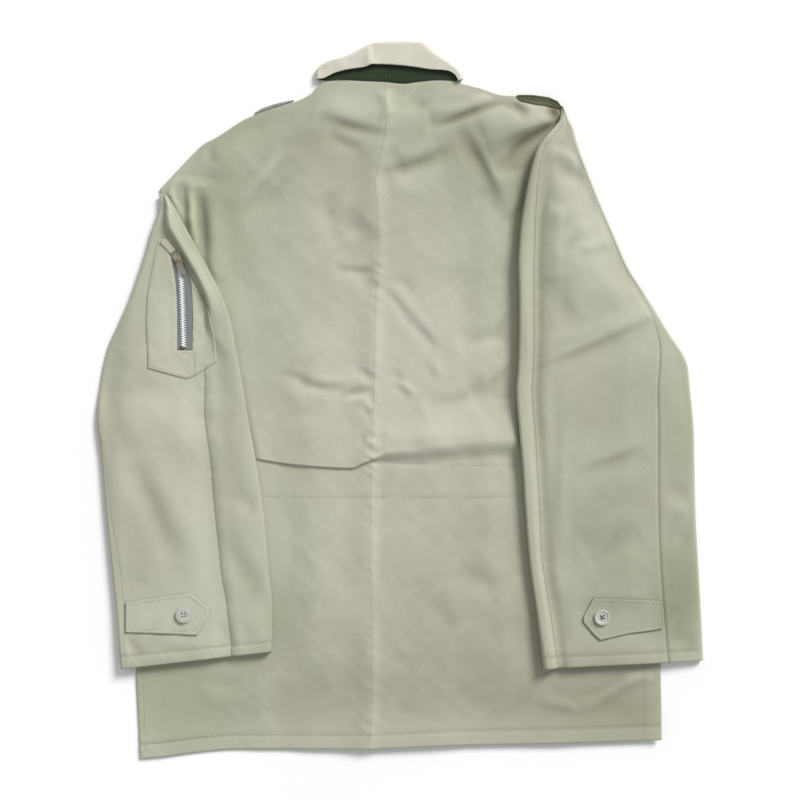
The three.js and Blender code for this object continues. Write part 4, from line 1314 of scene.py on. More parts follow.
        if part == "outer":
            even = shares(widest * 0.86)
            close = lerp(even, 0.5 - 0.5 * np.cos(math.pi * even), 0.75)
            runs = [over(lerp(got["outerSeam"] + seam, inner_seam - seam, close))]
        else:
            runs = [
                over(lerp(inner_seam + seam, got["innerBend"], shares(40))),
                bend(got["innerBend"], got["roll"], 1, 15),
                under(lerp(got["innerBend"], outer_bend, shares(widest * 0.6))),
                bend(outer_bend, got["lift"], -1, 11),
                over(lerp(outer_bend, got["outerSeam"] - seam, shares(45))),
            ]
        full = [[np.broadcast_to(value, run[0].shape) for value in run] for run in runs]
        return got, [np.concatenate(values, 1) for values in zip(*full)]

    def grids(self, part, step):
        """The layers of one piece, and how much shade is painted on each of their points."""
        spots = [(self.foot, 24, 1.6), (self.head, 30, 1.6)]
        level = graded(self.foot, self.head, step, spots)[:, None]
        got, (inset, height, out, up) = self.section(level, part, step)
        relief = self.relief(level, inset, got) * np.clip(up, 0, 1)
        # the under layer shows a little past the cuff
        near_edge = smoothstep(0.6, 0.95, inset / got["width"])
        peek = 3 * np.clip(-up, 0, 1) * smoothstep(30, 6, level - self.foot) * near_edge
        layers = []
        for offset in (HALF, -HALF):
            x, y = self.place(level, inset + offset * out, got)
            layers.append(np.stack([x, y - peek, height + offset * up + relief], -1))
        walk = np.hypot(np.diff(inset, axis=1), np.diff(height, axis=1))
        round_cloth = np.concatenate([0 * level, np.cumsum(walk, 1)], 1)
        layers.append(np.stack([round_cloth, level + 0 * inset], -1))
        # painted shade along the cuff's stitches
        line_shade = HEM_STITCH_SHADE * stitch_shade(level - self.foot - CUFF_DEPTH) * np.clip(up, 0, 1)
        if self.zipped:
            # painted shade on the outward bend of the rolled edge beside the zip
            line_shade = line_shade + ROLLED_EDGE_SHADE * np.clip(out, 0, 1) * (inset > got["width"] / 2)
        return layers, line_shade


# Each flat spot is a middle and how far it reaches both ways; a valley is a depth, two widths and two levels
LEFT_SLEEVE = Sleeve(
    SLEEVE_LEFT,
    edge=body_left,
    inward=1,
    overhang=OVERHANG_LEFT,
    crown=CROWN_LEFT,
    creases=LEFT_CREASES,
    seed=101,
    flat_spots=[(-251, 118, 17, 62), (-262, -247, 56, 22)],
    valley=(2.4, 18, 6, 60, 0),
    cuff=CUFF_OPEN_LEFT,
    shades=SEAM_SHADES_LEFT,
    inner_dip=0.25,
    zipped=(20, 184),
)
RIGHT_SLEEVE = Sleeve(
    SLEEVE_RIGHT,
    edge=body_right,
    inward=-1,
    overhang=OVERHANG_RIGHT,
    crown=CROWN_RIGHT,
    creases=RIGHT_CREASES,
    seed=151,
    flat_spots=[(254, -250, 52, 22)],
    valley=(2.7, 9, 4, 320, 280),
    cuff=CUFF_OPEN_RIGHT,
    shades=SEAM_SHADES_RIGHT,
    inner_dip=0.06,
)


def make_sleeve(side, form, sizes, material):
    """Both pieces of a sleeve, which rest on their own half of the back."""
    for part in ("outer", "inner"):
        node = f"sleeve_{side}_{part}"
        layers, line_shade = form.grids(part, sizes.grid)
        # painted shade along the seams between the sleeve's two pieces
        cloth(
            f"cloth_{node}", node, layers, material, "twill", CUTS[node], [f"cloth_back_{side}"],
            seamed=["left", "right"], shades=form.seam_shades(part), line_shade=line_shade,
        )


# ---- The collar ----


def collar_rows(count):
    """The collar's table read at even steps round its roll line."""
    steps = np.hypot(np.diff(COLLAR["rollX"]), np.diff(COLLAR["rollY"]))
    walk = np.concatenate([[0], np.cumsum(steps)])
    rows = {"walk": walk, **COLLAR}
    at = np.linspace(0, walk[-1], count)
    return at, {name: reader(rows, "walk", name)(at) for name in COLLAR}


def collar_grids(bend, inset, foot, relief):
    """One cloth of the collar: from the free edge up to the roll line, round it, and down to its seam."""
    walk, rows = collar_rows(112)
    roll = np.stack([rows["rollX"], rows["rollY"]], -1)
    edge = np.stack([rows["edgeX"], rows["edgeY"]], -1)
    out = roll - edge
    out /= np.linalg.norm(out, axis=1, keepdims=True)
    centre = roll - out * (HALF + COLLAR_BEND)
    start = edge + out * inset
    seam = foot(rows)
    centre_height = HALF + COLLAR_BEND
    rise = np.linspace(0, 1, 15)
    turn = np.linspace(0, 1, 13)[1:-1]
    fall = np.linspace(0, 1, 13)
    layers = []
    for offset in (HALF, -HALF):
        columns = []
        for share in rise:
            place = lerp(start, centre, share)
            height = centre_height + bend + offset + rows["lift"] * (1 - share)
            columns.append(np.column_stack([place, height + relief(place, share)]))
        for share in turn:
            angle = math.pi * (0.5 - share)
            place = centre + out * (bend + offset) * math.cos(angle)
            height = centre_height + (bend + offset) * math.sin(angle)
            columns.append(np.column_stack([place, np.full(len(place), height)]))
        for share in fall:
            place = lerp(centre, seam, share)
            height = np.full(len(place), centre_height - bend - offset)
            columns.append(np.column_stack([place, height + relief(place, -share)]))
        layers.append(np.stack(columns, 1))
    rolled = COLLAR_FALL + COLLAR_ROLL
    far = np.concatenate([rise * COLLAR_FALL, COLLAR_FALL + turn * COLLAR_ROLL, rolled + fall * COLLAR_STAND])
    return [*layers, np.stack(np.meshgrid(far, walk), -1)]


def front_neck(rows):
    return np.column_stack([rows["frontX"], front_top(rows["frontX"]) + NECK_GAP_FRONT])


def back_neck(rows):
    return np.column_stack([rows["seamX"], back_top(rows["seamX"]) + NECK_GAP_BACK])


def pale_relief(place, share):
    """Creases and unevenness of the top collar's fall."""
    x, y = place.T
    return creased(COLLAR_CREASES, x, y) + 0.25 * swell(x, y, 30, 61) if share >= 0 else 0


def dark_relief(place, share):
    """The under collar's stand, gathered where it is sewn to the back."""
    if share > 0:
        return 0
    x, y = place.T
    near_seam = smoothstep(-0.55, -1.0, share)
    gathered = 0.25 + 0.75 * bell(x + 4, 26)
    return 0.5 * near_seam * gathered * np.sin(x * 1.35 + swell(x, y, 14, 63))


def make_collar(materials):
    """The top collar's pale fall, and the dark under collar that shows below it."""
    pale = collar_grids(COLLAR_BEND, 0, front_neck, pale_relief)
    rests = ["cloth_front_left"]
    cut = CUTS["top_collar"]
    cloth("cloth_top_collar", "top_collar", pale, materials["collar"], "collar_twill", cut, rests)
    dark = collar_grids(UNDER_BEND, UNDER_INSET, back_neck, dark_relief)
    rests = ["cloth_top_collar"]
    cut = CUTS["under_collar"]
    cloth("cloth_under_collar", "under_collar", dark, materials["dark"], "dark_cloth", cut, rests)


# ---- What lies on the cloth: straps, cuff tabs, sleeve pocket ----


def edge_distance(x, y, outline):
    """Distance from each place to the nearest stretch of an open or closed outline."""
    nearest = np.full(np.shape(x), 1e9)
    for (x0, y0), (x1, y1) in zip(outline[:-1], outline[1:]):
        run_x, run_y = x1 - x0, y1 - y0
        share = np.clip(((x - x0) * run_x + (y - y0) * run_y) / (run_x**2 + run_y**2), 0, 1)
        nearest = np.minimum(nearest, np.hypot(x - x0 - share * run_x, y - y0 - share * run_y))
    return nearest


def strip_places(rows, step, across):
    """Places of a flat strip between the two edges that a table gives along x."""
    spread = np.arange(rows["x"][0], rows["x"][-1], step)
    columns = np.unique(np.concatenate([rows["x"], spread]))
    far = np.min(np.abs(columns[:, None] - rows["x"][None, :]), 1)
    columns = columns[(far < 1e-6) | (far > 0.45 * step)]
    share = np.linspace(0, 1, across)[:, None]
    lower = np.interp(columns, rows["x"], rows["lower"])[None, :]
    upper = np.interp(columns, rows["x"], rows["upper"])[None, :]
    y = lerp(lower, upper, share)
    return columns[None, :] + 0 * y, y


def shown_area(x, y):
    """Area of a grid of places, in square metres."""
    down = [x[1:, :-1] - x[:-1, 1:], y[1:, :-1] - y[:-1, 1:]]
    over = [x[1:, 1:] - x[:-1, :-1], y[1:, 1:] - y[:-1, :-1]]
    return float(np.abs(down[0] * over[1] - down[1] * over[0]).sum() / 2 * MM**2)


def strap_base(x, y):
    """Height that the right shoulder strap lies at, on the back and its folds."""
    return np.maximum(BODY_TOP, back_top_height(x, y)) + GAP


def make_straps(materials):
    """The shoulder straps, as far as they show past the shoulders' edges."""
    x, y = strip_places(STRAP_LEFT, 1.2, 7)
    y = np.maximum(y, back_top(x) + 2 * GAP)
    layers = stacked(x, y, STRAP + 0.25 * swell(x, y, 14, 71), 0 * x)
    node, grey, cut = "shoulder_strap_left", materials["strap_grey"], (45, 10, 0.00016)
    cloth("cloth_strap_left", node, layers, grey, "strap_cloth", cut, rim=STRAP_RIM)
    x, y = strip_places(STRAP_RIGHT, 1.2, 13)
    inside = edge_distance(x, y, list(zip(STRAP_RIGHT["x"], STRAP_RIGHT["upper"])))
    relief = 0.2 * swell(x, y, 12, 73)
    for far in STRAP_STITCHES:
        relief += stitched_groove(inside - far, 0.3, 0.8)
    base = strap_base(x, y)
    layers = stacked(x, y, base + STRAP + relief, base)
    node, green, cut = "shoulder_strap_right", materials["strap"], (52, 12, shown_area(x, y))
    cloth("cloth_strap_right", node, layers, green, "strap_cloth", cut, ["cloth_back_right"], rim=STRAP_RIM)


def tab_outline(rows):
    """A cuff tab's free edges in order: along the lower one to the point and back along the upper one."""
    low = list(zip(rows["x"], rows["lower"]))
    high = list(zip(rows["x"], rows["upper"]))
    if rows["x"][0] < 0:
        return low + high[::-1]
    return high[::-1] + low


def tab_base(form, x, y):
    """Height that a cuff tab lies at, on its sleeve."""
    return form.top(x, y) + GAP + LAID


def tab_top(form, x, y):
    return tab_base(form, x, y) + TAB


def make_tab(side, rows, form, material, cut):
    """A cuff tab of two layers, turned and stitched round its free edges."""
    x, y = strip_places(rows, 1.5, 31)
    inside = edge_distance(x, y, tab_outline(rows))
    # full and rounded along its edge, grooved by the stitches, and rippled where they draw it up
    relief = 0.2 * bell(inside - 2.4, 1.6) + stitched_groove(inside - TAB_STITCH, 0.25, 1.0)
    relief += -0.4 * np.exp(-inside / 0.9) + 0.18 * swell(x, y, 26, 81)
    ripple = np.sin(math.tau * (x + 0.6 * y) / 8 + 2 * swell(x, y, 30, 83))
    relief += 0.12 * ripple * bell(inside - TAB_STITCH, 3)
    base = tab_base(form, x, y)
    layers = stacked(x, y, base + TAB + relief, base)
    node = f"cuff_tab_{side}"
    rests = [f"cloth_sleeve_{side}_outer"]
    cut = (*cut, shown_area(x, y))
    # painted shade all round the tab's turned edges
    cloth(f"cloth_{node}", node, layers, material, "twill", cut, rests, STRAP_RIM, shades=TURNED_SHADES)


def pocket_places():
    """Places of the patch pocket between its two sides, down to its pointed lower edge."""
    left = reader(POCKET, "y", "left")
    right = reader(POCKET, "y", "right")
    foot = reader(POCKET_FOOT, "x", "y", smooth=False)
    levels = np.linspace(0, 1, 92)

    def warp(share, x):
        return lerp(foot(x), POCKET_TOP, share)

    return settle(levels, np.linspace(0, 1, 46), left, right, warp)


def zip_edge_lines(grow):
    """The zip opening's outline in the patch, grown by this much all round."""
    levels = np.linspace(ZIP_FOOT - grow, ZIP_HEAD + grow, 26)
    left = [(float(tape_left(y)) - grow, y) for y in levels]
    right = [(float(tape_right(y)) + grow, y) for y in levels]
    return left + right[::-1]


def cut_slot(piece, outline, low, high):
    """Cuts a straight-sided slot with this outline through a piece."""
    cutter = bpy.data.meshes.new("slot")
    ring = [Vector((x * MM, y * MM, z * MM)) for z in (low, high) for x, y in outline]
    count = len(outline)
    faces = [list(range(count))[::-1], list(range(count, 2 * count))]
    faces += [[i, (i + 1) % count, (i + 1) % count + count, i + count] for i in range(count)]
    cutter.from_pydata(ring, [], faces)
    tool = bpy.data.objects.new("slot", cutter)
    bpy.context.scene.collection.objects.link(tool)
    work = bmesh.new()
    work.from_mesh(cutter)
    bmesh.ops.recalc_face_normals(work, faces=work.faces)
    work.to_mesh(cutter)
    work.free()
    cut = piece.modifiers.new("slot", "BOOLEAN")
    cut.operation = "DIFFERENCE"
    cut.object = tool
    apply_modifiers(piece)
    bpy.data.objects.remove(tool)


def apply_modifiers(piece):
    select_only(piece)
    for modifier in list(piece.modifiers):
        bpy.ops.object.modifier_apply(modifier=modifier.name)


def select_only(*pieces):
    if bpy.context.object and bpy.context.object.mode != "OBJECT":
        bpy.ops.object.mode_set(mode="OBJECT")
    bpy.ops.object.select_all(action="DESELECT")
    for piece in pieces:
        piece.select_set(True)
    bpy.context.view_layer.objects.active = pieces[0] if pieces else None


def make_pocket(materials):
    """The patch pocket on the left sleeve, with the slot that its zip lies in."""
    x, y = pocket_places()
    inside = edge_distance(x, y, POCKET_OUTLINE)
    relief = 0.3 * np.exp(-inside / 6) - 0.3 * np.exp(-inside / 0.8) + 0.12 * swell(x, y, 20, 91)
    relief += stitched_groove(inside - POCKET_STITCH, 0.25, 0.8)
    relief += stitched_groove(edge_distance(x, y, POCKET_SEAM), 0.4, 1.0)
    relief += 0.35 * bell(edge_distance(x, y, zip_edge_lines(0)) - 3, 3)
    base = LEFT_SLEEVE.top(x, y) + LAID
    layers = stacked(x, y, base + PATCH + relief, base)
    cut = (82, 160, shown_area(x, y) - SLOT_AREA)
    node, twill = "sleeve_pocket", materials["twill"]
    piece = cloth("cloth_sleeve_pocket", node, layers, twill, "twill", cut, [LEFT_OUTER], PATCH_RIM)
    cut_slot(piece, zip_edge_lines(GAP / 2), -5, 30)


def make_tape(side, left, right, head, material):
    """One zip tape, woven in fine lengthwise ribs."""
    levels = np.linspace(ZIP_FOOT, head, 70)[:, None]
    x = lerp(left(levels), right(levels), np.linspace(0, 1, 9)[None, :])
    y = levels + 0 * x
    base = LEFT_SLEEVE.top(x, y) + LAID
    layers = stacked(x, y, base + TAPE + 0.05 * swell(x, y, 18, 95), base)
    cut = (10, head - ZIP_FOOT, shown_area(x, y))
    node = f"zip_tape_{side}"
    cloth(f"cloth_{node}", node, layers, material, "zip_tape", cut, [LEFT_OUTER], TAPE_RIM)


def left_tape_end(y):
    return teeth_line(y) - TAPE_SIDE


def right_tape_end(y):
    return teeth_line(y) + TAPE_SIDE


def model_tooth():
    """One zip tooth: a short bar with bevelled edges."""
    select_only()
    bpy.ops.mesh.primitive_cube_add(size=1, location=(0, 0, 0))
    tooth = bpy.context.object
    bpy.ops.transform.resize(value=[v * MM for v in TOOTH])
    bpy.ops.object.transform_apply(location=True, rotation=True, scale=True)
    bpy.ops.object.mode_set(mode="EDIT")
    bpy.ops.mesh.select_all(action="SELECT")
    bpy.ops.mesh.bevel(offset=TOOTH_BEVEL * MM, segments=2, affect="EDGES")
    bpy.ops.object.mode_set(mode="OBJECT")
    return tooth


def repeat_shape(name, shape, places):
    """One mesh of many copies of a small shape, each turned about Z and moved to its place in millimetres."""
    source = np.array([v.co for v in shape.data.vertices], float)
    faces = [list(p.vertices) for p in shape.data.polygons]
    points = []
    sides = []
    for x, y, z, turn in places:
        c, s = math.cos(turn), math.sin(turn)
        spun = source @ np.array([[c, s, 0], [-s, c, 0], [0, 0, 1]])
        start = len(points) * len(source)
        points.append(spun + np.array([x, y, z]) * MM)
        sides += [[start + i for i in face] for face in faces]
    mesh = bpy.data.meshes.new(name)
    mesh.from_pydata(np.concatenate(points).tolist(), [], sides)
    mesh.polygons.foreach_set("use_smooth", np.ones(len(mesh.polygons), bool))
    piece = bpy.data.objects.new(name, mesh)
    bpy.context.scene.collection.objects.link(piece)
    return piece


def make_teeth(sizes, material):
    """The teeth of both tapes, gripping each other along the zip."""
    tooth = model_tooth()
    places = []
    y = TEETH_FOOT
    side = 1
    while y < TEETH_TOP:
        x = float(teeth_line(y))
        lean = float(teeth_line(y + 1) - teeth_line(y - 1)) / 2
        height = float(LEFT_SLEEVE.top(x, y)) + TOOTH_HEIGHT
        turn = math.atan2(-lean, 1) + math.radians(side * TOOTH_LEAN)
        places.append((x + side * TOOTH_SIDE, y, height, turn))
        y += sizes.tooth_pitch / 2
        side = -side
    chain = repeat_shape("zip_chain", tooth, places)
    bpy.data.objects.remove(tooth)
    dress(chain, material, "zip_teeth", "zip_teeth")
    select_only(chain)
    bpy.ops.object.shade_smooth_by_angle(angle=math.radians(40))


def bevelled_block(name, size, place, turn, bevel):
    """A block with rounded edges, modelled at its size and put in its place. Millimetres."""
    select_only()
    bpy.ops.mesh.primitive_cube_add(size=1, location=(0, 0, 0))
    block = bpy.context.object
    block.name = name
    block.data.name = name
    bpy.ops.transform.resize(value=[v * MM for v in size])
    bpy.ops.object.transform_apply(location=True, rotation=True, scale=True)
    rounded = block.modifiers.new("rounded", "BEVEL")
    rounded.width = bevel * MM
    rounded.segments = 3
    rounded.limit_method = "ANGLE"
    apply_modifiers(block)
    block.data.transform(Matrix.Translation(Vector(place) * MM) @ Matrix.Rotation(turn, 4, "Z"))
    bpy.ops.object.shade_smooth_by_angle(angle=math.radians(50))
    return block


def middle_of(low, high):
    """The middle of a box of the frame, in millimetres."""
    return [(a + b) / 2 / MM for a, b in zip(low, high)]


def make_zip(sizes, materials):
    """Tapes, teeth, bottom stop and the small cloth tab at the zip's head."""
    make_tape("left", tape_left, left_tape_end, ZIP_HEAD, materials["tape"])
    make_tape("right", right_tape_end, tape_right, RIGHT_TAPE_HEAD, materials["tape"])
    make_teeth(sizes, materials["teeth"])
    low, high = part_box("zip_stop")
    x, y, _ = middle_of(low, high)
    stop = bevelled_block("zip_bottom_stop", STOP, (x, y, high.z / MM - 1.0), 0, 0.5)
    dress(stop, materials["stop"], "copper", "zip_stop")
    low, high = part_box("zip_top_tab")
    x, y, _ = middle_of(low, high)
    tab = bevelled_block("zip_head_tab", HEAD_TAB, (x, y, low.z / MM + 0.6), HEAD_TAB_TURN, 0.45)
    dress(tab, materials["twill_plain"], "twill", "zip_top_tab")


# ---- Buttons ----


def model_button(name, place, height, turn):
    """A four-hole button, turned from a disc: a rounded rim, a dished middle and drilled holes."""
    select_only()
    radius, thick = BUTTON_RADIUS * MM, BUTTON_THICK * MM
    bpy.ops.mesh.primitive_cylinder_add(vertices=56, radius=radius, depth=thick, location=(0, 0, thick / 2))
    disc = bpy.context.object
    disc.name = name
    disc.data.name = name
    bpy.ops.object.transform_apply(location=True, rotation=True, scale=True)
    bpy.ops.object.mode_set(mode="EDIT")
    work = bmesh.from_edit_mesh(disc.data)
    for face in work.faces:
        face.select = face.normal.z > 0.9
    work.select_flush_mode()
    bmesh.update_edit_mesh(disc.data)
    bpy.ops.mesh.select_mode(type="FACE")
    bpy.ops.mesh.inset(thickness=BUTTON_RIM * MM)
    bpy.ops.mesh.inset(thickness=0.9 * MM)
    bpy.ops.transform.translate(value=(0, 0, -BUTTON_DISH * MM))
    bpy.ops.mesh.inset(thickness=1.6 * MM)
    bpy.ops.transform.translate(value=(0, 0, 0.12 * MM))
    bpy.ops.object.mode_set(mode="OBJECT")
    drill_holes(disc, turn)
    soft = disc.modifiers.new("soft edges", "BEVEL")
    soft.width = 0.45 * MM
    soft.segments = 3
    soft.limit_method = "ANGLE"
    soft.angle_limit = math.radians(32)
    apply_modifiers(disc)
    disc.data.transform(Matrix.Translation((place[0] * MM, place[1] * MM, height * MM)))
    bpy.ops.object.shade_smooth_by_angle(angle=math.radians(35))
    return disc


def drill_holes(disc, turn):
    """Drills the four holes for the thread."""
    for corner in range(4):
        angle = turn + math.radians(45 + 90 * corner)
        place = (BUTTON_SPREAD * math.cos(angle) * MM, BUTTON_SPREAD * math.sin(angle) * MM, 0)
        select_only()
        bpy.ops.mesh.primitive_cylinder_add(vertices=16, radius=BUTTON_HOLE * MM, depth=0.02, location=place)
        drill = bpy.context.object
        hole = disc.modifiers.new("hole", "BOOLEAN")
        hole.operation = "DIFFERENCE"
        hole.object = drill
        apply_modifiers(disc)
        bpy.data.objects.remove(drill)


def make_buttons(materials):
    """Both cuff buttons, each with the crossed thread that sews it on."""
    for side, (place, turn) in BUTTONS.items():
        form = LEFT_SLEEVE if side == "left" else RIGHT_SLEEVE
        height = float(tab_top(form, *place)) + GAP
        disc = model_button(f"button_{side}", place, height, turn)
        dress(disc, materials["button"], "buttons", f"cuff_button_{side}")
        bars = []
        for corner in range(2):
            angle = turn + math.radians(45 + 90 * corner)
            level = height + BUTTON_THICK - 0.55 + 0.12 * corner
            bars.append(bevelled_block("bar", THREAD_BAR, (*place, level), angle, 0.22))
        select_only(*bars)
        bpy.ops.object.join()
        bars[0].name = f"button_thread_{side}"
        dress(bars[0], materials["dark_thread"], "strap_cloth")


# ---- Stitching ----


def model_stitch(sizes):
    """One stitch: a short strand of thread, pulled down into the cloth at both ends."""
    select_only()
    thick = sizes.thread * MM
    long = sizes.stitch * MM
    level = (0, math.pi / 2, 0)
    bpy.ops.mesh.primitive_cylinder_add(vertices=6, radius=thick / 2, depth=long, rotation=level)
    strand = bpy.context.object
    bpy.ops.object.transform_apply(location=True, rotation=True, scale=True)
    bpy.ops.object.mode_set(mode="EDIT")
    for bent in (long * 0.28, -long * 0.28):
        bpy.ops.mesh.select_all(action="SELECT")
        bpy.ops.mesh.bisect(plane_co=(bent, 0, 0), plane_no=(1, 0, 0))
    bpy.ops.object.mode_set(mode="OBJECT")
    for vertex in strand.data.vertices:
        if abs(vertex.co.x) > long * 0.4:
            vertex.co.z = vertex.co.z * 0.6 - thick * 0.55
            vertex.co.y *= 0.6
    return strand


def measured(line):
    """A line's length, and a function that gives the place at a distance along it."""
    points = np.array(line, float)
    steps = np.hypot(np.diff(points[:, 0]), np.diff(points[:, 1]))
    far = np.concatenate([[0], np.cumsum(steps)])

    def at(distance):
        return np.interp(distance, far, points[:, 0]), np.interp(distance, far, points[:, 1])

    return far[-1], at


def walk_line(line, pitch):
    """Even steps along a line of places: x, y and heading of each step's middle."""
    long, at = measured(line)
    middle = np.arange(pitch / 2, long - pitch / 4, pitch)
    x, y = at(middle)
    ahead_x, ahead_y = at(middle + 0.5)
    behind_x, behind_y = at(middle - 0.5)
    return x, y, np.arctan2(ahead_y - behind_y, ahead_x - behind_x)


def sew(name, lines, height, sizes, material, slot="twill"):
    """Rows of stitches along lines of places, on a surface whose height a function gives."""
    strand = model_stitch(sizes)
    places = []
    for line in lines:
        x, y, turn = walk_line(line, sizes.stitch + sizes.stitch_gap)
        z = height(x, y) + sizes.thread * 0.12
        places += list(zip(x, y, z, turn))
    piece = repeat_shape(name, strand, places)
    bpy.data.objects.remove(strand)
    dress(piece, material, slot)


def inset_line(outline, inset):
    """An open outline moved inwards, to its left, by this much, with its corners mitred."""
    points = [Vector(p) for p in outline]
    normals = []
    for a, b in zip(points[:-1], points[1:]):
        run = (b - a).normalized()
        normals.append(Vector((-run.y, run.x)))
    moved = [points[0] + normals[0] * inset]
    for i in range(1, len(points) - 1):
        mitre = (normals[i - 1] + normals[i]).normalized()
        moved.append(points[i] + mitre * (inset / max(mitre.dot(normals[i]), 0.4)))
    moved.append(points[-1] + normals[-1] * inset)
    return [tuple(p) for p in moved]


def straight(corners):
    """Close places along a line of a few corners."""
    long, at = measured(corners)
    return list(zip(*at(np.linspace(0, long, max(int(long / 3), 2)))))


def along_x(span, level, line=None):
    """Places from left to right at a level, or that far above a line."""
    x = np.arange(*span, 2.0)
    return list(zip(x, level + (line(x) if line else 0 * x)))


def cuff_line(form, height):
    """A line round the upper side of a cuff, this far above its edge."""
    level = np.full(60, form.foot + height)
    got = form.sizes(level)
    inset = np.linspace(2.4, float(got["width"][0]) - 2.4, 60)
    return list(zip(*form.place(level, inset, got)))


def inner_seam_line(form, span, offset):
    """A line beside a sleeve's inner seam, between two levels."""
    level = np.linspace(*span, 80)
    got = form.sizes(level)
    return list(zip(*form.place(level, got["width"] - got["innerSeam"] + offset, got)))


def pocket_top(x, y):
    return LEFT_SLEEVE.top(x, y) + LAID + PATCH


def strap_top(x, y):
    return strap_base(x, y) + STRAP - STRAP_SUNK


def sew_tab(side, rows, form, sizes, thread):
    """The row of stitches round a cuff tab."""

    def top(x, y):
        return tab_top(form, x, y) - TAB_SUNK

    line = inset_line(tab_outline(rows), TAB_STITCH)
    sew(f"stitching_tab_{side}", [straight(line)], top, sizes, thread)


def make_stitching(sizes, materials):
    """All of the sewing that shows."""
    thread = materials["thread"]
    back_lines = [
        along_x(HEM_ROW, HEM_DEPTH, hem_line),
        along_x(CASING_ROWS[0], CASING[1]),
        along_x(CASING_ROWS[1], CASING[0]),
        straight(SIDE_ROW),
        straight(LEFT_SIDE_ROW),
    ]
    sew("stitching_back", back_lines, back_top_height, sizes, thread)
    left_lines = [cuff_line(LEFT_SLEEVE, CUFF_DEPTH)]
    left_lines += [inner_seam_line(LEFT_SLEEVE, SLEEVE_ROW_SPAN, offset) for offset in SLEEVE_ROWS]
    sew("stitching_sleeve_left", left_lines, LEFT_SLEEVE.top, sizes, thread)
    sew("stitching_sleeve_right", [cuff_line(RIGHT_SLEEVE, CUFF_DEPTH - 2)], RIGHT_SLEEVE.top, sizes, thread)
    sew_tab("left", TAB_LEFT, LEFT_SLEEVE, sizes, thread)
    sew_tab("right", TAB_RIGHT, RIGHT_SLEEVE, sizes, thread)
    opening = zip_edge_lines(ZIP_STITCH)
    pocket_lines = [
        straight(inset_line(POCKET_OUTLINE, POCKET_STITCH)),
        straight(opening + opening[:1]),
        straight([(x + POCKET_ROW, y) for x, y in POCKET_SEAM]),
    ]
    sew("stitching_pocket", pocket_lines, pocket_top, sizes, thread)
    strap_edge = list(zip(STRAP_RIGHT["x"], STRAP_RIGHT["upper"]))[::-1]
    strap_lines = [straight(inset_line(strap_edge, far)) for far in STRAP_STITCHES]
    sew("stitching_strap", strap_lines, strap_top, sizes, materials["dark_thread"], "strap_cloth")


# ---- Materials ----


def linear(colour):
    """A screen colour from 0 to 255 as the linear colour that a shader takes."""
    return [((v / 255 + 0.055) / 1.055) ** 2.4 if v > 10.3 else v / 255 / 12.92 for v in colour] + [1.0]


class Shader:
    """Builds one material's nodes."""

    def __init__(self, name):
        self.material = bpy.data.materials.new(name)
        self.material.use_nodes = True
        self.nodes = self.material.node_tree.nodes
        self.links = self.material.node_tree.links
        self.surface = next(n for n in self.nodes if n.type == "BSDF_PRINCIPLED")

    def node(self, kind, inputs=(), **settings):
        made = self.nodes.new(kind)
        for key, value in settings.items():
            setattr(made, key, value)
        for socket, value in dict(inputs).items():
            self.put(made.inputs[socket], value)
        return made

    def put(self, socket, value):
        if isinstance(value, bpy.types.NodeSocket):
            self.links.new(value, socket)
        else:
            socket.default_value = value

    def set(self, **values):
        for name, value in values.items():
            self.put(self.surface.inputs[name.replace("_", " ")], value)

    def maths(self, operation, a, b=0.0, clamp=False):
        made = self.node("ShaderNodeMath", operation=operation, use_clamp=clamp)
        self.put(made.inputs[0], a)
        self.put(made.inputs[1], b)
        return made.outputs[0]

    def blend(self, share, a, b, mode="MIX"):
        made = self.node("ShaderNodeMix", data_type="RGBA", blend_type=mode)
        self.put(made.inputs[0], share)
        self.put(made.inputs[6], a)
        self.put(made.inputs[7], b)
        return made.outputs[2]

    def grey(self, value):
        return self.node("ShaderNodeCombineColor", {"Red": value, "Green": value, "Blue": value}).outputs[0]

    def place(self):
        return self.node("ShaderNodeTexCoord").outputs["Object"]

    def noise(self, place, across_mm, detail=2.0, rough=0.5):
        inputs = {"Vector": place, "Scale": 1000 / across_mm, "Detail": detail, "Roughness": rough}
        return self.node("ShaderNodeTexNoise", inputs).outputs["Fac"]

    def spread(self, value, low, high, start=0.0, stop=1.0):
        inputs = {"Value": value, "From Min": low, "From Max": high, "To Min": start, "To Max": stop}
        return self.node("ShaderNodeMapRange", inputs).outputs["Result"]

    def read(self, name):
        return self.node("ShaderNodeAttribute", attribute_name=name).outputs["Fac"]

    def weave(self, cut, pitch, angle):
        """Fine ribs across the cloth as it was cut."""
        turned = self.node("ShaderNodeMapping", {"Vector": cut, "Rotation": (0, 0, angle)})
        inputs = {"Vector": turned.outputs[0], "Scale": 314.16 / pitch, "Distortion": 0.5, "Detail": 1.0}
        made = self.node("ShaderNodeTexWave", inputs, wave_type="BANDS", bands_direction="X")
        return made.outputs["Fac"]

    def bump(self, height, distance_mm, strength=1.0, under=None):
        inputs = {"Height": height, "Distance": distance_mm * MM, "Strength": strength}
        if under is not None:
            inputs["Normal"] = under
        return self.node("ShaderNodeBump", inputs).outputs[0]


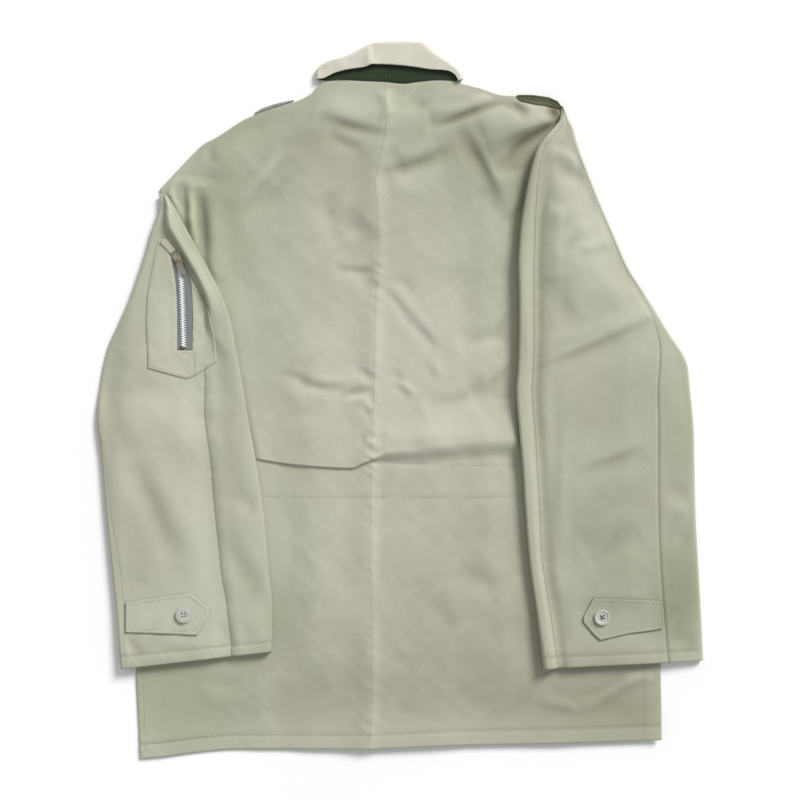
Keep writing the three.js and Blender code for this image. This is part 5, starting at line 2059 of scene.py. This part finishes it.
def cloth_material(name, shade, green, light, fade_and_shade=1.0, on_cut=True):
    """Washed cotton twill: fine slanting ribs, slow changes of shade, paler where worn or faded and on raised
    places, and darker with painted shade in its hollows, seams and stitch lines and with the painted light
    and shade of the fading table.
    """
    mix = Shader(name)
    place = mix.place()
    slow = mix.spread(mix.noise(place, 190, 2.5), 0.35, 0.65, 0, 1)
    patch = mix.spread(mix.noise(place, 85, 2.0, 0.5), 0.32, 0.68, -0.22, 0.22)
    kept = mix.maths("MULTIPLY", mix.read("green"), 0.55)
    greener = mix.maths("ADD", kept, mix.maths("MULTIPLY", slow, 0.35), True)
    colour = mix.blend(greener, linear(shade), linear(green))
    lighter = mix.maths("MULTIPLY", mix.read("light"), 0.9 * fade_and_shade)
    lighter = mix.maths("ADD", lighter, mix.maths("MULTIPLY", patch, 0.5 * fade_and_shade))
    # painted shade: hollows, seams and stitch lines darken the cloth, and raised places come out paler
    lighter = mix.maths("ADD", lighter, mix.maths("MULTIPLY", mix.read("painted_shade"), -0.7 * fade_and_shade))
    paler = mix.maths("MAXIMUM", lighter, 0.0)
    darker = mix.maths("MAXIMUM", mix.maths("MULTIPLY", lighter, -1.0), 0.0)
    colour = mix.blend(mix.maths("MULTIPLY", paler, 0.8, True), colour, linear(light))
    # the tint that darker tone and painted shade blend the cloth towards
    dark = [v * w for v, w in zip(shade, SHADE_AND_TONE_TINT)]
    colour = mix.blend(mix.maths("MULTIPLY", darker, 0.5, True), colour, linear(dark))
    fleck = mix.spread(mix.noise(place, 1.6, 2.0, 0.7), 0.3, 0.7, 0.95, 1.04)
    colour = mix.blend(1.0, colour, mix.grey(fleck), "MULTIPLY")
    along = mix.node("ShaderNodeUVMap", uv_map="cut").outputs[0] if on_cut else place
    ribs = mix.bump(mix.weave(along, TWILL_PITCH, TWILL_SLANT), 0.10, 0.5)
    grain = mix.bump(mix.noise(place, 2.6, 3.0, 0.65), 0.16, 0.6, ribs)
    crumple = mix.bump(mix.noise(place, 17, 2.0, 0.5), 0.6, 0.3, grain)
    mix.set(Base_Color=colour, Roughness=0.92, Normal=crumple)
    mix.set(Sheen_Weight=0.15, Sheen_Roughness=0.5, Specular_IOR_Level=0.2)
    return mix.material


def plain_material(name, colour, rough, metal=0.0, mottle=0.06, grain_mm=0.6, depth_mm=0.02):
    """A plain surface with a little unevenness of shade and finish."""
    mix = Shader(name)
    place = mix.place()
    shade = mix.spread(mix.noise(place, 6, 3.0), 0.3, 0.7, 1 - mottle, 1 + mottle)
    shaded = mix.blend(1.0, linear(colour), mix.grey(shade), "MULTIPLY")
    mix.set(Base_Color=shaded, Roughness=rough, Metallic=metal)
    mix.set(Normal=mix.bump(mix.noise(place, grain_mm, 2.0), depth_mm, 0.5))
    return mix.material


def tape_material(name, colour):
    """Zip tape: fine ribs along its length."""
    mix = Shader(name)
    place = mix.place()
    cut = mix.node("ShaderNodeUVMap", uv_map="cut").outputs[0]
    ribs = mix.weave(cut, TAPE_PITCH, 0.0)
    colour = mix.blend(mix.spread(ribs, 0, 1, 0, 0.35), linear(colour), linear([v * 0.7 for v in colour]))
    mix.set(Base_Color=colour, Roughness=0.85)
    mix.set(Normal=mix.bump(ribs, 0.15, 0.8, mix.bump(mix.noise(place, 1.2), 0.05, 0.5)))
    return mix.material


def rgb(value):
    """A property's linear colour as a screen colour from 0 to 255."""
    return [255 * (12.92 * v if v <= 0.0031308 else 1.055 * v ** (1 / 2.4) - 0.055) for v in value[:3]]


def parka_materials():
    """Every material of the parka, made once from the chosen colours."""
    chosen = bpy.context.scene.parka_colours
    twill = (rgb(chosen.cloth), rgb(chosen.green), rgb(chosen.pale))
    collar = rgb(chosen.collar)
    recipes = {
        "twill": (cloth_material, *twill),
        "twill_plain": (cloth_material, *twill, 0.5, False),
        "collar": (cloth_material, collar, collar, (226, 223, 211), 0.35),
        "dark": (cloth_material, rgb(chosen.dark), (48, 60, 42), (84, 94, 74), 0.6),
        # the straps are the coat's own cloth: their darker grey and olive are partly painted shade on the
        # undersides that show
        "strap_grey": (cloth_material, (156, 152, 147), (148, 150, 139), (180, 177, 171), 0.5),
        "strap": (cloth_material, rgb(chosen.strap), (84, 88, 64), (116, 116, 92), 0.5),
        "thread": (plain_material, rgb(chosen.thread), 0.85),
        "dark_thread": (plain_material, (52, 56, 42), 0.85),
        "tape": (tape_material, rgb(chosen.tape)),
        "teeth": (plain_material, (228, 232, 232), 0.4, 0.0, 0.04),
        "metal": (plain_material, (168, 153, 133), 0.42, 0.6, 0.15),
        "copper": (plain_material, (152, 147, 130), 0.4, 0.6, 0.18),
        "stop": (plain_material, (100, 80, 68), 0.45, 0.5, 0.18),
        "button": (plain_material, rgb(chosen.button), 0.38, 0.0, 0.07, 1.5, 0.03),
    }
    found = {}
    for key, (build, *values) in recipes.items():
        name = f"parka {key}"
        found[key] = bpy.data.materials.get(name) or build(name, *values)
    return found


# ---- What the user can change ----


def colour_property(name, description, shade):
    return bpy.props.FloatVectorProperty(
        name=name, description=description, subtype="COLOR", size=3, min=0, max=1, default=linear(shade)[:3]
    )


def number(name, description, default, low, high, **more):
    return bpy.props.FloatProperty(
        name=name, description=description, default=default, min=low, max=high, **more
    )


class ParkaColours(bpy.types.PropertyGroup):
    """The colours of the parka's cloth, thread and buttons."""

    cloth: colour_property("Cloth", "Faded shade of the twill", (182, 178, 164))
    green: colour_property("Green cast", "Shade where the cloth has kept more of its dye", (174, 179, 156))
    pale: colour_property("Worn", "Shade of the most worn places", (204, 203, 189))
    collar: colour_property("Collar", "Shade of the top collar", (206, 203, 189))
    dark: colour_property("Under collar", "Shade of the dark under collar", (46, 57, 40))
    # darker than the twill: partly painted shade on the strap's shaded underside
    strap: colour_property("Strap", "Shade of the shoulder strap", (92, 92, 70))
    thread: colour_property("Thread", "Shade of the sewing thread", (158, 157, 138))
    tape: colour_property("Zip tape", "Shade of the zip's tapes", (126, 131, 129))
    button: colour_property("Buttons", "Shade of the cuff buttons", (181, 182, 171))


class ParkaSizes(bpy.types.PropertyGroup):
    """Fine sizes of the cloth's finish. All lengths are in millimetres."""

    grid: number("Cloth grid", "Spacing of the cloth's points in mm", 3.0, 2.0, 12.0)
    stitch: number("Stitch", "Length of a stitch in mm", 2.2, 1, 6)
    stitch_gap: number("Stitch gap", "Gap between stitches in mm", 0.9, 0.2, 3)
    thread: number("Thread", "Thickness of the thread in mm", 0.55, 0.2, 1.2)
    tooth_pitch: number("Zip tooth pitch", "Spacing of one tape's teeth in mm", 2.8, 2, 6)


class ParkaStage(bpy.types.PropertyGroup):
    """The table, the camera and the light."""

    height: number("Camera height", "Height of the camera over the table", 2.0, 1.0, 5.0, unit="LENGTH")
    breadth: number("Width in view", "Width of the table that the camera sees", 0.92, 0.5, 3.0, unit="LENGTH")
    key_power: number("Key light", "Strength of the key light", 3.3, 0, 20)
    elevation: number("Elevation", "How high the key light stands, in degrees", 34.0, 5, 90)
    bearing: number("Bearing", "Where the key light stands, in degrees from +X", 50.0, -180, 180)
    softness: number("Softness", "Apparent width of the key light in degrees", 22.0, 0, 90)
    fill: number("Fill", "Strength of the light all round", 0.5, 0, 3)


# ---- Operators, one for each group of pieces ----


class Making:
    """What the operators share: each makes its own pieces from the sizes and the materials."""

    bl_options = {"REGISTER", "UNDO"}

    def execute(self, context):
        self.make(context.scene.parka_sizes, parka_materials())
        return {"FINISHED"}


class PARKA_OT_body(Making, bpy.types.Operator):
    """Make the two back panels and the two fronts that lie under them"""

    bl_idname = "parka.body"
    bl_label = "Body"

    def make(self, sizes, materials):
        twill = materials["twill"]
        make_back("back_left", -1, sizes, twill)
        make_back("back_right", 1, sizes, twill)
        make_front("front_left", body_left, left_front_edge, flat_front, twill)
        make_front("front_right", right_front_edge, body_right, lapped_front, twill)


class PARKA_OT_sleeves(Making, bpy.types.Operator):
    """Make the two pieces of each sleeve"""

    bl_idname = "parka.sleeves"
    bl_label = "Sleeves"

    def make(self, sizes, materials):
        make_sleeve("left", LEFT_SLEEVE, sizes, materials["twill"])
        make_sleeve("right", RIGHT_SLEEVE, sizes, materials["twill"])


class PARKA_OT_collar(Making, bpy.types.Operator):
    """Make the top collar and the under collar"""

    bl_idname = "parka.collar"
    bl_label = "Collar"

    def make(self, sizes, materials):
        make_collar(materials)


class PARKA_OT_straps(Making, bpy.types.Operator):
    """Make the shoulder straps and the cuff tabs"""

    bl_idname = "parka.straps"
    bl_label = "Straps and tabs"

    def make(self, sizes, materials):
        make_straps(materials)
        make_tab("left", TAB_LEFT, LEFT_SLEEVE, materials["twill"], (98, 50))
        make_tab("right", TAB_RIGHT, RIGHT_SLEEVE, materials["twill"], (92, 50))


class PARKA_OT_pocket(Making, bpy.types.Operator):
    """Make the sleeve pocket with its zip"""

    bl_idname = "parka.pocket"
    bl_label = "Pocket and zip"

    def make(self, sizes, materials):
        make_pocket(materials)
        make_zip(sizes, materials)


class PARKA_OT_buttons(Making, bpy.types.Operator):
    """Make the cuff buttons"""

    bl_idname = "parka.buttons"
    bl_label = "Buttons"

    def make(self, sizes, materials):
        make_buttons(materials)


class PARKA_OT_stitching(Making, bpy.types.Operator):
    """Sew the rows of stitches"""

    bl_idname = "parka.stitching"
    bl_label = "Stitching"

    def make(self, sizes, materials):
        make_stitching(sizes, materials)


class PARKA_OT_slider(Making, bpy.types.Operator):
    """Finish the zip's slider and its pull tab in metal"""

    bl_idname = "parka.slider"
    bl_label = "Slider and pull"

    def make(self, sizes, materials):
        for node, key in (("zip_slider", "metal"), ("pull_tab", "copper")):
            piece = bpy.data.objects[node]
            piece.data.materials.clear()
            piece.data.materials.append(materials[key])


class PARKA_OT_stage(Making, bpy.types.Operator):
    """Set the table, the light and the camera"""

    bl_idname = "parka.stage"
    bl_label = "Stage"

    def make(self, sizes, materials):
        set_stage(bpy.context.scene.parka_stage)


def set_stage(stage):
    """A plain pale table, soft light from beyond the collar on the right, and a camera straight above."""
    select_only()
    bpy.ops.mesh.primitive_plane_add(size=8, location=(0, 0, -0.0004))
    floor = bpy.context.object
    floor.name = "table_top"
    pale = Shader("parka table")
    tint = pale.grey(pale.spread(pale.noise(pale.place(), 400, 2.0), 0.3, 0.7, 0.985, 1.0))
    pale.set(Base_Color=pale.blend(1.0, TABLE_SHADE, tint, "MULTIPLY"), Roughness=0.9)
    floor.data.materials.append(pale.material)
    world = bpy.data.worlds.new("parka_room")
    world.use_nodes = True
    room = world.node_tree.nodes["Background"].inputs
    room["Strength"].default_value = stage.fill
    room["Color"].default_value = (1, 1, 1, 1)
    bpy.context.scene.world = world
    lamp = bpy.data.lights.new("parka_key", "SUN")
    lamp.angle = math.radians(stage.softness)
    lamp.energy = stage.key_power
    key = bpy.data.objects.new("parka_key", lamp)
    bpy.context.scene.collection.objects.link(key)
    high, round_by = math.radians(stage.elevation), math.radians(stage.bearing)
    flat = KEY_DISTANCE * math.cos(high)
    key.location = (flat * math.cos(round_by), flat * math.sin(round_by), KEY_DISTANCE * math.sin(high))
    key.rotation_euler = (-key.location).to_track_quat("-Z", "Y").to_euler()
    lens = bpy.data.cameras.new("parka_camera")
    lens.sensor_width = SENSOR
    lens.lens = SENSOR * stage.height / stage.breadth
    camera = bpy.data.objects.new("parka_camera", lens)
    bpy.context.scene.collection.objects.link(camera)
    camera.location = (0, 0, stage.height)
    bpy.context.scene.camera = camera
    bpy.context.scene.view_settings.view_transform = "Standard"
    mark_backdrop(floor, key, camera)


class PARKA_PT_panel(bpy.types.Panel):
    """The parka's controls"""

    bl_label = "Army parka"
    bl_idname = "PARKA_PT_panel"
    bl_space_type = "VIEW_3D"
    bl_region_type = "UI"
    bl_category = "Parka"

    def draw(self, context):
        for group in ("parka_sizes", "parka_colours", "parka_stage"):
            box = self.layout.box()
            values = getattr(context.scene, group)
            for name in values.__annotations__:
                box.prop(values, name)
        for step in STEPS:
            self.layout.operator(step.bl_idname)


STEPS = (
    PARKA_OT_body,
    PARKA_OT_sleeves,
    PARKA_OT_collar,
    PARKA_OT_straps,
    PARKA_OT_pocket,
    PARKA_OT_buttons,
    PARKA_OT_slider,
    PARKA_OT_stitching,
    PARKA_OT_stage,
)
GROUPS = {"parka_sizes": ParkaSizes, "parka_colours": ParkaColours, "parka_stage": ParkaStage}


def register():
    for group in GROUPS.values():
        bpy.utils.register_class(group)
    for kind in STEPS + (PARKA_PT_panel,):
        bpy.utils.register_class(kind)
    for name, group in GROUPS.items():
        setattr(bpy.types.Scene, name, bpy.props.PointerProperty(type=group))


def unregister():
    for name in GROUPS:
        delattr(bpy.types.Scene, name)
    for kind in (PARKA_PT_panel,) + STEPS[::-1]:
        bpy.utils.unregister_class(kind)
    for group in GROUPS.values():
        bpy.utils.unregister_class(group)


def main():
    """Makes the whole parka, then works out how large it was before and after."""
    register()
    for step in STEPS:
        group, name = step.bl_idname.split(".")
        getattr(getattr(bpy.ops, group), name)()
    listed = lambda box: [list(corner) for corner in box]
    {"cad": listed(CAD_BOX), "visual": listed(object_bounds())}


if __name__ == "__main__":
    main()
